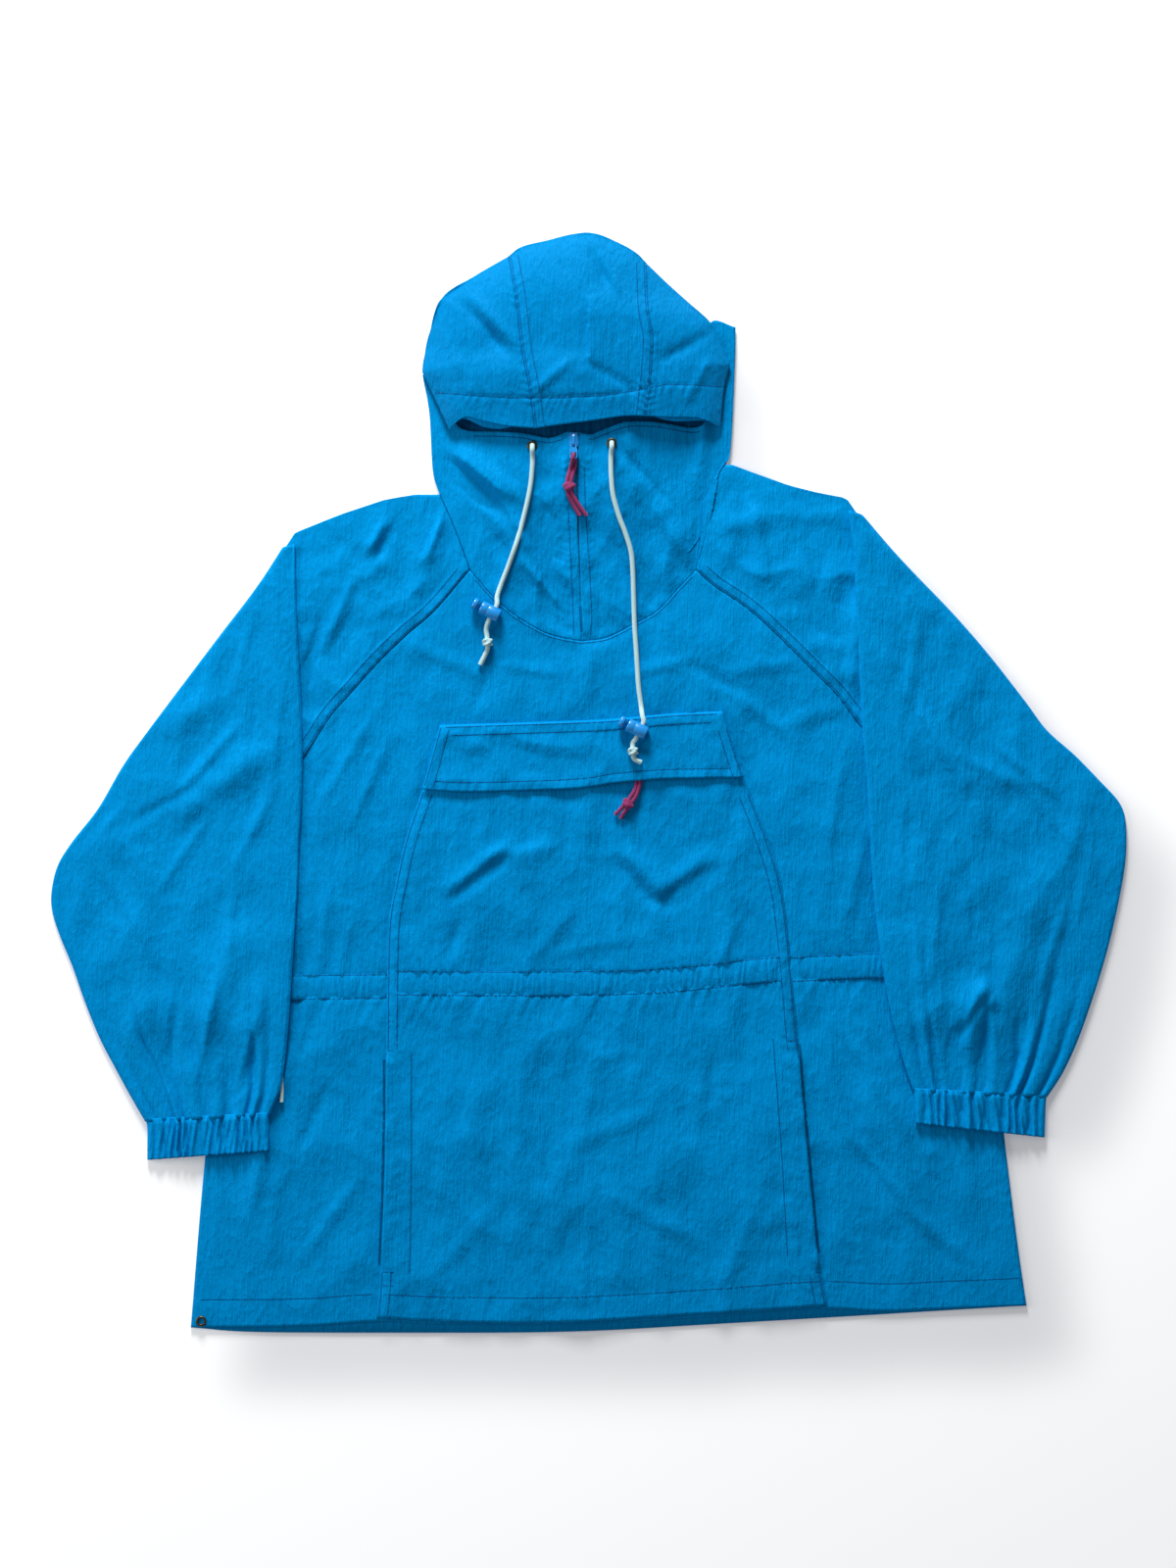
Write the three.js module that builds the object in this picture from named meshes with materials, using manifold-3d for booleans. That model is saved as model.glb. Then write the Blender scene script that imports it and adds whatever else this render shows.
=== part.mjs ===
// A hooded anorak pullover laid flat on its back, front up. Millimetres, +Z up, the hood towards +Y.
// Every piece of cloth is a wall lofted through sections; what lies on a panel follows that panel's height.
import * as THREE from "three";
import { mergeVertices } from "three/addons/utils/BufferGeometryUtils.js";
import Module from "manifold-3d";

const wasm = await Module();
wasm.setup();

// Cloth, and the space between layers
const cloth = 1.2;
const cuffCloth = 1.6;
const seamGap = 0.34;
const layGap = 0.8;
const backTop = cloth;
const frontEdgeTop = backTop + 0.3 + cloth;
const puffHeight = 2.2;
const puffReach = 35;
const neckRise = 11;

// The trims
const cordDiameter = 4.2;
const waistCordDiameter = 3.4;
const pullCordDiameter = 3;
const knot = { diameter: 9, length: 6.5 };
const eyelet = { outer: 4.6, bore: 2.6, height: 1.2 };
const lock = { length: 18, radius: 6, socket: 4.3, socketDepth: 6.4, travel: 3 };
const button = { radius: 5.4, head: 4, stem: 4, stemLength: 5.8 };
const slider = { width: 8.2, length: 13, plate: 1.4 };
const tab = { neck: 5.2, width: 7, length: 14, thickness: 1, eye: 2.9, tilt: 8 };

const blue = { color: 0x0a84c6, roughness: 0.72, metalness: 0 };
const darkBlue = { color: 0x0668a8, roughness: 0.78, metalness: 0 };
const plasticBlue = { color: 0x0d78cc, roughness: 0.3, metalness: 0 };
const paleCord = { color: 0xbfe3e4, roughness: 0.8, metalness: 0 };
const magenta = { color: 0xb01d6d, roughness: 0.7, metalness: 0 };
const brass = { color: 0x6f6648, roughness: 0.4, metalness: 0.9 };

// Seams and outlines in plan, each from left to right or from the hood to the hem
const raglanLeft = [
  { x: -296, y: -28 },
  { x: -264, y: 0 },
  { x: -243, y: 29 },
  { x: -223, y: 59 },
  { x: -207, y: 77 },
  { x: -182, y: 105 },
  { x: -158, y: 128 },
  { x: -133, y: 150 },
  { x: -103, y: 185 },
];
const raglanRight = [
  { x: 93, y: 185 },
  { x: 109, y: 171 },
  { x: 133, y: 155 },
  { x: 150, y: 141 },
  { x: 174, y: 118 },
  { x: 198, y: 94 },
  { x: 215, y: 77 },
  { x: 237, y: 49 },
  { x: 262, y: 20 },
  { x: 322, y: -22 },
];
const neckLeft = [
  { x: -103, y: 185 },
  { x: -83, y: 162 },
  { x: -63, y: 145 },
  { x: -39, y: 131 },
  { x: -23, y: 126 },
  { x: -6, y: 123 },
];
const neckRight = [
  { x: -6, y: 123 },
  { x: 15, y: 126 },
  { x: 36, y: 136 },
  { x: 59, y: 149 },
  { x: 78, y: 169 },
  { x: 93, y: 185 },
];
const neckUpLeft = [
  { x: -129, y: 250 },
  { x: -115, y: 218 },
  { x: -103, y: 185 },
];
const neckUpRight = [
  { x: 93, y: 185 },
  { x: 97, y: 212 },
  { x: 99, y: 243 },
];
const backNeck = [
  { x: -103, y: 185 },
  { x: -107, y: 214 },
  { x: -3, y: 214 },
  { x: 97, y: 214 },
  { x: 93, y: 185 },
];
const sideLeft = [
  { x: -296, y: -28 },
  { x: -315, y: -160 },
  { x: -333, y: -330 },
  { x: -345, y: -473 },
];
const sideRight = [
  { x: 322, y: -22 },
  { x: 346, y: -171 },
  { x: 361, y: -310 },
  { x: 372, y: -399 },
  { x: 380, y: -454 },
];
const frontHem = [
  { x: -345, y: -473 },
  { x: -250, y: -472 },
  { x: -184, y: -468 },
  { x: -136, y: -470 },
  { x: -51, y: -471 },
  { x: 17, y: -469 },
  { x: 102, y: -464 },
  { x: 195, y: -457 },
  { x: 256, y: -459 },
  { x: 306, y: -457 },
  { x: 380, y: -454 },
];
const backHem = [
  { x: -345, y: -473 },
  { x: -286, y: -477 },
  { x: -136, y: -477.6 },
  { x: -51, y: -477.3 },
  { x: 17, y: -475.4 },
  { x: 102, y: -470.5 },
  { x: 204, y: -464.6 },
  { x: 280, y: -460 },
  { x: 380, y: -454 },
];
const shoulderTopLeft = [
  { x: -129, y: 250 },
  { x: -150, y: 248 },
  { x: -176, y: 246 },
  { x: -215, y: 233 },
  { x: -255, y: 217 },
];
const shoulderTopRight = [
  { x: 99, y: 243 },
  { x: 117, y: 277 },
  { x: 138, y: 271 },
  { x: 174, y: 258 },
  { x: 198, y: 252 },
  { x: 224, y: 247 },
];
const shoulderFoldLeft = [
  { x: -255, y: 217 },
  { x: -266, y: 200 },
  { x: -280, y: 171 },
  { x: -286, y: -5 },
  { x: -296, y: -28 },
];
const shoulderFoldRight = [
  { x: 224, y: 247 },
  { x: 244, y: 218 },
  { x: 264, y: 195 },
  { x: 284, y: 60 },
  { x: 292, y: 10 },
  { x: 322, y: -22 },
];

// Hood seams and edges in plan
const gussetSeamLeft = [
  { x: -69.5, y: 456.5 },
  { x: -63, y: 419 },
  { x: -57.5, y: 373 },
  { x: -51, y: 340 },
  { x: -46.5, y: 306 },
];
const gussetSeamRight = [
  { x: 50, y: 451 },
  { x: 51.5, y: 410 },
  { x: 55.5, y: 385 },
  { x: 54, y: 354 },
  { x: 49.5, y: 316.5 },
];
const crown = [
  { x: -69.5, y: 456.5 },
  { x: -57.5, y: 465 },
  { x: -35.5, y: 470.5 },
  { x: -13, y: 476 },
  { x: 5, y: 476.5 },
  { x: 23.5, y: 469.5 },
  { x: 40, y: 460.5 },
  { x: 50, y: 451 },
];
const crownLeft = [
  { x: -144, y: 356 },
  { x: -142, y: 371 },
  { x: -137, y: 393 },
  { x: -127, y: 420.5 },
  { x: -98, y: 440 },
  { x: -69.5, y: 456.5 },
];
const crownRight = [
  { x: 50, y: 451 },
  { x: 67.5, y: 434 },
  { x: 86, y: 417 },
  { x: 104.5, y: 400 },
  { x: 112, y: 387 },
  { x: 122.5, y: 362.5 },
];
const brimSideLeft = [
  { x: -144, y: 356 },
  { x: -136.5, y: 340 },
  { x: -128, y: 322 },
  { x: -120.5, y: 305.5 },
];
const brimSideRight = [
  { x: 122.5, y: 362.5 },
  { x: 117.5, y: 343 },
  { x: 114, y: 308 },
];
const brimLeft = [
  { x: -120.5, y: 305.5 },
  { x: -116.5, y: 310 },
  { x: -105.5, y: 316 },
  { x: -89, y: 312 },
  { x: -70.5, y: 308 },
  { x: -46.5, y: 306 },
];
const brimCentre = [
  { x: -46.5, y: 306 },
  { x: -24.5, y: 309 },
  { x: 3, y: 312.5 },
  { x: 31, y: 316.5 },
  { x: 49.5, y: 316.5 },
];
const brimRight = [
  { x: 49.5, y: 316.5 },
  { x: 68, y: 315.5 },
  { x: 95.5, y: 315 },
  { x: 114, y: 308 },
];
const hoodSideLeft = [
  { x: -144, y: 354 },
  { x: -138, y: 321 },
  { x: -135, y: 271 },
  { x: -129, y: 250 },
];
const hoodSideRight = [
  { x: 127.5, y: 393 },
  { x: 127, y: 365 },
  { x: 123, y: 288 },
  { x: 117, y: 277 },
  { x: 109, y: 261 },
  { x: 99, y: 243 },
];
const collarTopLeft = [
  { x: -144, y: 354 },
  { x: -135, y: 349 },
  { x: -120, y: 320 },
  { x: -108, y: 306 },
  { x: -79, y: 304 },
  { x: -55, y: 302 },
  { x: -34, y: 298 },
  { x: -19, y: 303 },
  { x: -13, y: 303 },
];
const collarTopRight = [
  { x: -9, y: 303 },
  { x: 2, y: 301 },
  { x: 10, y: 304 },
  { x: 33, y: 312 },
  { x: 60, y: 312 },
  { x: 94, y: 308 },
  { x: 107, y: 320 },
  { x: 111, y: 360 },
  { x: 116, y: 391 },
  { x: 127.5, y: 393 },
];
const zipLineLeft = [
  { x: -13, y: 303 },
  { x: -10, y: 231 },
  { x: -7, y: 159 },
  { x: -6, y: 123 },
];
const zipLineRight = [
  { x: -9, y: 303 },
  { x: -8, y: 231 },
  { x: -6.4, y: 159 },
  { x: -6, y: 123 },
];

// The kangaroo pocket, from the flap to the hem
const pocketTop = [
  { x: -129, y: 50 },
  { x: -5, y: 54 },
  { x: 34, y: 56.5 },
  { x: 73, y: 60 },
  { x: 116.5, y: 62 },
];
const pocketLeft = [
  { x: -129, y: 50 },
  { x: -144.5, y: -6 },
  { x: -158.5, y: -48 },
  { x: -168, y: -90 },
  { x: -174, y: -130 },
  { x: -175.5, y: -222 },
  { x: -177, y: -340 },
  { x: -181, y: -430 },
  { x: -184, y: -464 },
];
const pocketRight = [
  { x: 116.5, y: 62 },
  { x: 135, y: 4 },
  { x: 153.5, y: -45 },
  { x: 166.5, y: -87 },
  { x: 173, y: -131 },
  { x: 181, y: -219 },
  { x: 190, y: -320 },
  { x: 199, y: -411 },
  { x: 207, y: -454 },
];
const pocketHem = [
  { x: -184, y: -464 },
  { x: -136, y: -467.5 },
  { x: -51, y: -469 },
  { x: 17, y: -466.5 },
  { x: 102, y: -461 },
  { x: 207, y: -454 },
];
const flapHem = [
  { x: -144, y: -6 },
  { x: -110, y: -8 },
  { x: -57, y: -7 },
  { x: -5, y: -4.5 },
  { x: 21, y: -0.5 },
  { x: 47, y: 2 },
  { x: 73, y: 3.5 },
  { x: 134.5, y: 4.5 },
];
const casingHeight = 22;
const casingLeft = [
  { x: -309, y: -168 },
  { x: -253, y: -167 },
  { x: -180, y: -166 },
];
const casingCentre = [
  { x: -165, y: -163 },
  { x: -57, y: -164 },
  { x: 34, y: -162 },
  { x: 86, y: -159 },
  { x: 138, y: -153 },
  { x: 165, y: -151 },
];
const casingRight = [
  { x: 184, y: -151 },
  { x: 249, y: -148 },
  { x: 338, y: -150 },
];

// The sleeves hang from the shoulder point to the cuff: a row for each section
const sleeveLeft = [
  { outer: -265.5, outerY: 204, inner: -254.4, innerY: 207 },
  { outer: -287, outerY: 171, inner: -254, innerY: 171 },
  { outer: -317, outerY: 132, inner: -252.4, innerY: 132 },
  { outer: -349.5, outerY: 89, inner: -250.2, innerY: 89 },
  { outer: -382.5, outerY: 45, inner: -248.3, innerY: 45 },
  { outer: -404, outerY: 15, inner: -248, innerY: 15 },
  { outer: -425.5, outerY: -22, inner: -249.2, innerY: -22 },
  { outer: -448, outerY: -51, inner: -251, innerY: -51 },
  { outer: -460.5, outerY: -71, inner: -251.6, innerY: -71 },
  { outer: -466, outerY: -92, inner: -252.2, innerY: -92 },
  { outer: -466, outerY: -110, inner: -253.4, innerY: -110 },
  { outer: -459.5, outerY: -132, inner: -254.7, innerY: -132 },
  { outer: -448, outerY: -160, inner: -256.5, innerY: -160 },
  { outer: -437.5, outerY: -190, inner: -258.4, innerY: -190 },
  { outer: -424.5, outerY: -222, inner: -260.6, innerY: -220 },
  { outer: -411.5, outerY: -247, inner: -263, innerY: -243 },
  { outer: -398.5, outerY: -271, inner: -267, innerY: -266 },
  { outer: -385, outerY: -294.5, inner: -276, innerY: -288.5 },
];
const sleeveRight = [
  { outer: 238, outerY: 232, inner: 225.4, innerY: 236 },
  { outer: 270, outerY: 195, inner: 230, innerY: 195 },
  { outer: 313.5, outerY: 150, inner: 232, innerY: 150 },
  { outer: 346, outerY: 113, inner: 234, innerY: 113 },
  { outer: 378.5, outerY: 71.5, inner: 236, innerY: 71.5 },
  { outer: 398, outerY: 45.5, inner: 237.4, innerY: 45.5 },
  { outer: 422, outerY: 24, inner: 239.2, innerY: 24 },
  { outer: 443.5, outerY: 2, inner: 241.2, innerY: 2 },
  { outer: 461, outerY: -17.5, inner: 242.4, innerY: -17.5 },
  { outer: 466.5, outerY: -35, inner: 243.4, innerY: -35 },
  { outer: 466.5, outerY: -66, inner: 245, innerY: -66 },
  { outer: 460.5, outerY: -103, inner: 247.6, innerY: -103 },
  { outer: 450.5, outerY: -146, inner: 252.5, innerY: -146 },
  { outer: 437, outerY: -190, inner: 259.5, innerY: -188 },
  { outer: 424.5, outerY: -225, inner: 267, innerY: -220 },
  { outer: 412, outerY: -252, inner: 274.5, innerY: -247 },
  { outer: 398.5, outerY: -273, inner: 281.5, innerY: -267.5 },
];
const cuffLeft = [
  { outer: -383.5, outerY: -295.7, inner: -277, innerY: -289.6 },
  { outer: -383, outerY: -301, inner: -277, innerY: -295 },
  { outer: -383, outerY: -314, inner: -276.5, innerY: -307 },
  { outer: -383, outerY: -327.5, inner: -276.5, innerY: -319 },
];
const cuffRight = [
  { outer: 397, outerY: -274.4, inner: 282, innerY: -268.8 },
  { outer: 397, outerY: -280, inner: 282.5, innerY: -274 },
  { outer: 396.5, outerY: -294, inner: 283, innerY: -284 },
  { outer: 396, outerY: -308, inner: 283.5, innerY: -295 },
];

// The hood's folded back: a row for each section, its half widths already inside the outline
const hoodBackRows = [
  { y: 463, left: -30, right: 17 },
  { y: 455, left: -57, right: 34 },
  { y: 442, left: -82, right: 47 },
  { y: 428, left: -103, right: 61 },
  { y: 412, left: -119, right: 77 },
  { y: 398, left: -124, right: 89 },
  { y: 380, left: -129, right: 100 },
  { y: 360, left: -131, right: 106 },
  { y: 342, left: -127, right: 107 },
  { y: 326, left: -122, right: 108 },
  { y: 316, left: -122, right: 110 },
  { y: 306, left: -122, right: 111 },
  { y: 292, left: -122, right: 110 },
  { y: 270, left: -120, right: 103 },
  { y: 245, left: -113, right: 90 },
  { y: 216, left: -103, right: 86 },
  { y: 214.6, left: -102, right: 85.5 },
  { y: 190, left: -91, right: 80 },
  { y: 172, left: -72, right: 62 },
  { y: 162, left: -54, right: 42 },
];

// Broad folds and hollows: a row for each, heights in millimetres and angles in degrees from +X
const bodyFolds = [
  { x: -262, y: -305, angle: 68, length: 230, width: 30, height: 2.2 },
  { x: -215, y: -260, angle: 62, length: 160, width: 26, height: -1.2 },
  { x: -62, y: -335, angle: -56, length: 190, width: 32, height: 2 },
  { x: 48, y: -345, angle: 32, length: 170, width: 32, height: 1.8 },
  { x: 140, y: -330, angle: 74, length: 180, width: 30, height: 1.8 },
  { x: 262, y: -300, angle: -52, length: 220, width: 30, height: 2.2 },
  { x: 40, y: -95, angle: -35, length: 150, width: 34, height: -1.6 },
  { x: -75, y: -85, angle: 35, length: 150, width: 34, height: 1.8 },
  { x: 185, y: 45, angle: 22, length: 170, width: 30, height: -1.6 },
  { x: 120, y: 110, angle: 8, length: 150, width: 28, height: 1.4 },
  { x: -150, y: 85, angle: -12, length: 150, width: 30, height: -1.4 },
  { x: -215, y: -60, angle: 80, length: 190, width: 30, height: 1.4 },
];
const shoulderFolds = [
  { x: -140, y: 212, angle: 72, length: 70, width: 10, height: 3 },
  { x: -182, y: 222, angle: 66, length: 60, width: 12, height: 2 },
  { x: 160, y: 205, angle: 100, length: 120, width: 14, height: 2.2 },
  { x: 205, y: 190, angle: 96, length: 110, width: 14, height: 1.6 },
];
const collarFolds = [
  { x: -88, y: 262, angle: -42, length: 90, width: 12, height: 4 },
  { x: -70, y: 205, angle: -60, length: 100, width: 13, height: 2.6 },
  { x: -40, y: 190, angle: -52, length: 90, width: 11, height: -2 },
  { x: 60, y: 235, angle: -50, length: 100, width: 15, height: 2.4 },
  { x: 88, y: 250, angle: 70, length: 60, width: 10, height: 2.6 },
];
const hoodFolds = [
  { x: -98, y: 392, angle: -42, length: 90, width: 14, height: -4 },
  { x: -112, y: 398, angle: -42, length: 70, width: 12, height: 2.5 },
  { x: 12, y: 450, angle: -62, length: 60, width: 14, height: -2 },
  { x: 84, y: 372, angle: 35, length: 80, width: 16, height: -2.5 },
  { x: 0, y: 385, angle: 88, length: 110, width: 22, height: 2 },
];
const sleeveFolds = [
  { x: -315, y: 0, angle: 42, length: 140, width: 15, height: 3 },
  { x: -335, y: -30, angle: 38, length: 100, width: 12, height: -1.5 },
  { x: -345, y: 62, angle: 25, length: 90, width: 14, height: 2 },
  { x: -315, y: -170, angle: 72, length: 150, width: 15, height: 2.6 },
  { x: -385, y: -175, angle: -75, length: 160, width: 20, height: 1.8 },
  { x: -290, y: -205, angle: 70, length: 110, width: 12, height: 2.2 },
  { x: 320, y: 10, angle: -62, length: 150, width: 16, height: 2.6 },
  { x: 350, y: -18, angle: -14, length: 80, width: 13, height: -1.6 },
  { x: 290, y: -110, angle: -70, length: 170, width: 15, height: 2.8 },
  { x: 375, y: -140, angle: 76, length: 150, width: 18, height: 2.2 },
  { x: 330, y: -205, angle: 86, length: 90, width: 13, height: 2.6 },
];

const vector = (p) => new THREE.Vector2(p.x, p.y);
const mix = THREE.MathUtils.lerp;
const smooth = THREE.MathUtils.smoothstep;

// Points evenly spaced along a smooth line through a table's points.
function spaced(table, divisions) {
  return new THREE.SplineCurve(table.map(vector)).getSpacedPoints(divisions);
}

// Points on straight runs between a table's points, so that its corners stay sharp.
function straight(table, perRun) {
  const points = [vector(table[0])];
  for (let i = 1; i < table.length; i++) {
    for (let k = 1; k <= perRun[i - 1]; k++) {
      points.push(vector(table[i - 1]).lerp(vector(table[i]), k / perRun[i - 1]));
    }
  }
  return points;
}

function joined(...runs) {
  return runs.flatMap((run, i) => (i ? run.slice(1) : run));
}

function reversed(table) {
  return [...table].reverse();
}

// As many points on a line as a reference has, at the same shares of its length.
function matched(reference, table) {
  const curve = new THREE.SplineCurve(table.map(vector));
  const travelled = [0];
  for (let i = 1; i < reference.length; i++) {
    travelled.push(travelled[i - 1] + reference[i].distanceTo(reference[i - 1]));
  }
  return travelled.map((d) => curve.getPointAt(d / travelled.at(-1)));
}

// A grid of plan points that fills four edges: top and bottom run one way, left and right the other.
function patch(top, bottom, left, right) {
  const last = { u: top.length - 1, v: left.length - 1 };
  return left.map((onLeft, j) => {
    const v = j / last.v;
    return top.map((onTop, i) => {
      const u = i / last.u;
      const along = onTop.clone().lerp(bottom[i], v);
      const across = onLeft.clone().lerp(right[j], u);
      const corners = top[0].clone().lerp(top[last.u], u);
      corners.lerp(bottom[0].clone().lerp(bottom[last.u], u), v);
      return along.add(across).sub(corners);
    });
  });
}

// Draws a grid's edges in by half a seam's gap, so that its neighbours stay clear of it.
function drawnIn(grid, distance = seamGap / 2) {
  const moved = grid.map((row) => row.map((p) => p.clone()));
  const rows = grid.length;
  const columns = grid[0].length;
  const shift = (j, i, before, after, inside) => {
    const run = after.clone().sub(before).normalize();
    const normal = new THREE.Vector2(-run.y, run.x);
    if (normal.dot(inside.clone().sub(grid[j][i])) < 0) {
      normal.negate();
    }
    moved[j][i].addScaledVector(normal, distance);
  };
  for (let i = 0; i < columns; i++) {
    const before = Math.max(0, i - 1);
    const after = Math.min(columns - 1, i + 1);
    shift(0, i, grid[0][before], grid[0][after], grid[1][i]);
    shift(rows - 1, i, grid[rows - 1][before], grid[rows - 1][after], grid[rows - 2][i]);
  }
  for (let j = 0; j < rows; j++) {
    const before = Math.max(0, j - 1);
    const after = Math.min(rows - 1, j + 1);
    shift(j, 0, grid[before][0], grid[after][0], grid[j][1]);
    shift(j, columns - 1, grid[before][columns - 1], grid[after][columns - 1], grid[j][columns - 2]);
  }
  return moved;
}

// A closed solid between an outer and an inner skin, lofted through rows of matching points.
// A ring's rows close on themselves; an open wall gets a rim along each side.
function wall(rows, ring = false) {
  const perSkin = rows[0].outer.length;
  const position = [];
  rows.forEach((row) => [...row.outer, ...row.inner].forEach((p) => position.push(p.x, p.y, p.z)));
  const outer = (j, i) => j * perSkin * 2 + (i % perSkin);
  const inner = (j, i) => outer(j, i) + perSkin;
  const index = [];
  const quad = (a, b, c, d) => index.push(a, b, c, a, c, d);
  const spans = ring ? perSkin : perSkin - 1;
  const last = rows.length - 1;
  for (let i = 0; i < spans; i++) {
    for (let j = 0; j < last; j++) {
      quad(outer(j, i), outer(j, i + 1), outer(j + 1, i + 1), outer(j + 1, i));
      quad(inner(j, i), inner(j + 1, i), inner(j + 1, i + 1), inner(j, i + 1));
    }
    quad(outer(0, i), inner(0, i), inner(0, i + 1), outer(0, i + 1));
    quad(outer(last, i), outer(last, i + 1), inner(last, i + 1), inner(last, i));
  }
  for (let j = 0; !ring && j < last; j++) {
    quad(outer(j, 0), outer(j + 1, 0), inner(j + 1, 0), inner(j, 0));
    quad(outer(j, spans), inner(j, spans), inner(j + 1, spans), outer(j + 1, spans));
  }
  return facingOut(position, index);
}

function facingOut(position, index) {
  const geometry = new THREE.BufferGeometry();
  geometry.setAttribute("position", new THREE.Float32BufferAttribute(position, 3));
  const corner = (k) => new THREE.Vector3().fromArray(position, index[k] * 3);
  let volume = 0;
  for (let k = 0; k < index.length; k += 3) {
    volume += corner(k).dot(corner(k + 1).cross(corner(k + 2)));
  }
  if (volume < 0) {
    for (let k = 0; k < index.length; k += 3) {
      [index[k + 1], index[k + 2]] = [index[k + 2], index[k + 1]];
    }
  }
  geometry.setIndex(index);
  return geometry;
}

function distanceTo(lines, x, y) {
  let nearest = Infinity;
  const p = new THREE.Vector2(x, y);
  for (const points of lines) {
    for (let i = 1; i < points.length; i++) {
      const run = points[i].clone().sub(points[i - 1]);
      const share = p.clone().sub(points[i - 1]).dot(run) / run.lengthSq();
      const foot = points[i - 1].clone().addScaledVector(run, THREE.MathUtils.clamp(share, 0, 1));
      nearest = Math.min(nearest, foot.distanceTo(p));
    }
  }
  return nearest;
}

function reliefOf(folds, x, y) {
  let height = 0;
  for (const fold of folds) {
    const turn = THREE.MathUtils.degToRad(fold.angle);
    const along = (x - fold.x) * Math.cos(turn) + (y - fold.y) * Math.sin(turn);
    const across = (y - fold.y) * Math.cos(turn) - (x - fold.x) * Math.sin(turn);
    const fade = 1 - smooth(Math.abs(along) / (fold.length / 2), 0.3, 1);
    height += fold.height * fade * Math.exp(-((across / fold.width) ** 2));
  }
  return height;
}

// Height of the front layer's upper face: low at the outline, raised over the folded hood at the neck
const bodyOutline = [
  shoulderTopLeft,
  shoulderFoldLeft,
  sideLeft,
  frontHem,
  sideRight,
  shoulderFoldRight,
  shoulderTopRight,
  hoodSideLeft,
  hoodSideRight,
].map((table) => table.map(vector));
const neckCentre = { x: -8, y: 303, halfWidth: 125, halfLength: 180 };

function frontTop(x, y) {
  const inside = 1 - Math.exp(-distanceTo(bodyOutline, x, y) / puffReach);
  const out = Math.hypot(
    (x - neckCentre.x) / neckCentre.halfWidth,
    (y - neckCentre.y) / neckCentre.halfLength,
  );
  const rise = neckRise * (1 - smooth(out, 0.1, 1));
  const relief = reliefOf(bodyFolds, x, y) + reliefOf(shoulderFolds, x, y);
  return frontEdgeTop + puffHeight * inside + rise + Math.max(relief * inside, -1.4);
}

function collarTop(x, y) {
  const inside = 1 - Math.exp(-distanceTo(bodyOutline, x, y) / puffReach);
  return frontTop(x, y) + Math.max(reliefOf(collarFolds, x, y), -1.5) * inside;
}

// Height of the hood's upper face: a shallow dome over its folded back, lower again at the brim
const hoodOutline = [crownLeft, crown, crownRight, brimSideLeft, brimSideRight].map((table) =>
  table.map(vector),
);
const dome = { edge: 3, sideEdge: 6.6, height: 20, reach: 28, brimDrop: 2.5 };

function hoodTop(x, y) {
  const overSide = x > 0 ? 1 - smooth(y, 402, 430) : 1 - smooth(y, 350, 378);
  const edge = mix(dome.edge, dome.sideEdge, overSide);
  const inside = 1 - Math.exp(-distanceTo(hoodOutline, x, y) / dome.reach);
  const drop = dome.brimDrop * (1 - smooth(y, 310, 345));
  return edge + (dome.height - drop + reliefOf(hoodFolds, x, y)) * inside;
}

// A single layer of cloth over a grid: its underside lies one thickness below, square to the slope.
function layer(grid, topAt, thickness = cloth) {
  const step = 0.5;
  return wall(
    grid.map((row) => {
      const outer = row.map((p) => new THREE.Vector3(p.x, p.y, topAt(p.x, p.y)));
      const inner = outer.map((p) => {
        const slopeX = (topAt(p.x + step, p.y) - topAt(p.x - step, p.y)) / (2 * step);
        const slopeY = (topAt(p.x, p.y + step) - topAt(p.x, p.y - step)) / (2 * step);
        const slope = Math.min(Math.hypot(slopeX, slopeY), 1);
        return new THREE.Vector3(p.x, p.y, p.z - thickness * Math.hypot(1, slope));
      });
      return { outer, inner };
    }),
  );
}

// One section of a flattened tube between plan points a and b, with a round fold at each end.
function tubeSection({ a, b, top, bottom, upper, lower, thickness }) {
  const width = a.distanceTo(b);
  const foldTurns = [60, 0, -60].map(THREE.MathUtils.degToRad);
  const place = (share, z) => {
    const p = a.clone().lerp(b, share);
    return new THREE.Vector3(p.x, p.y, z);
  };
  const ends = [0, 1].map((end) => {
    const high = top(end);
    const low = bottom(end);
    return { middle: (high + low) / 2, half: Math.max((high - low) / 2, thickness + 0.12) };
  });
  const fold = (end, skin) =>
    foldTurns.map((turn) => {
      const radius = ends[end].half - skin;
      const inward = (skin + radius * (1 - Math.cos(turn))) / width;
      return place(end ? 1 - inward : inward, ends[end].middle + radius * Math.sin(turn));
    });
  const run = (shares, level, skin) => {
    const from = ends[0].half / width;
    const to = 1 - ends[1].half / width;
    return shares.map((share) => {
      const s = mix(from, to, share);
      return place(s, level(s) + skin);
    });
  };
  const loop = (skin) => [
    ...fold(0, skin).reverse(),
    ...run(upper, top, -skin),
    ...fold(1, skin),
    ...run([...lower].reverse(), bottom, skin),
  ];
  return { outer: loop(0), inner: loop(thickness) };
}

const evenly = (count) => Array.from({ length: count + 1 }, (_, i) => i / count);

// Where a sleeve crosses the edge of what lies under it, at a given height on the garment
function edgeAt(tables, y) {
  const points = tables.flat().map(vector);
  for (let i = 1; i < points.length; i++) {
    const [high, low] = [points[i - 1], points[i]];
    if (y <= high.y && y >= low.y && high.y > low.y) {
      return mix(low.x, high.x, (y - low.y) / (high.y - low.y));
    }
  }
  return points.at(-1).x;
}

const ramp = { foot: 24, head: 6, wideFoot: 55, wideHead: 25 };
const sleeveStack = 3.5;
const sleeveClearance = 0.9;
const casingUnderSleeve = 2.4;
const cordUnderSleeve = [{ x: -269, y: -230, angle: 84, length: 200, width: 17, height: 3.9 }];

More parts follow.
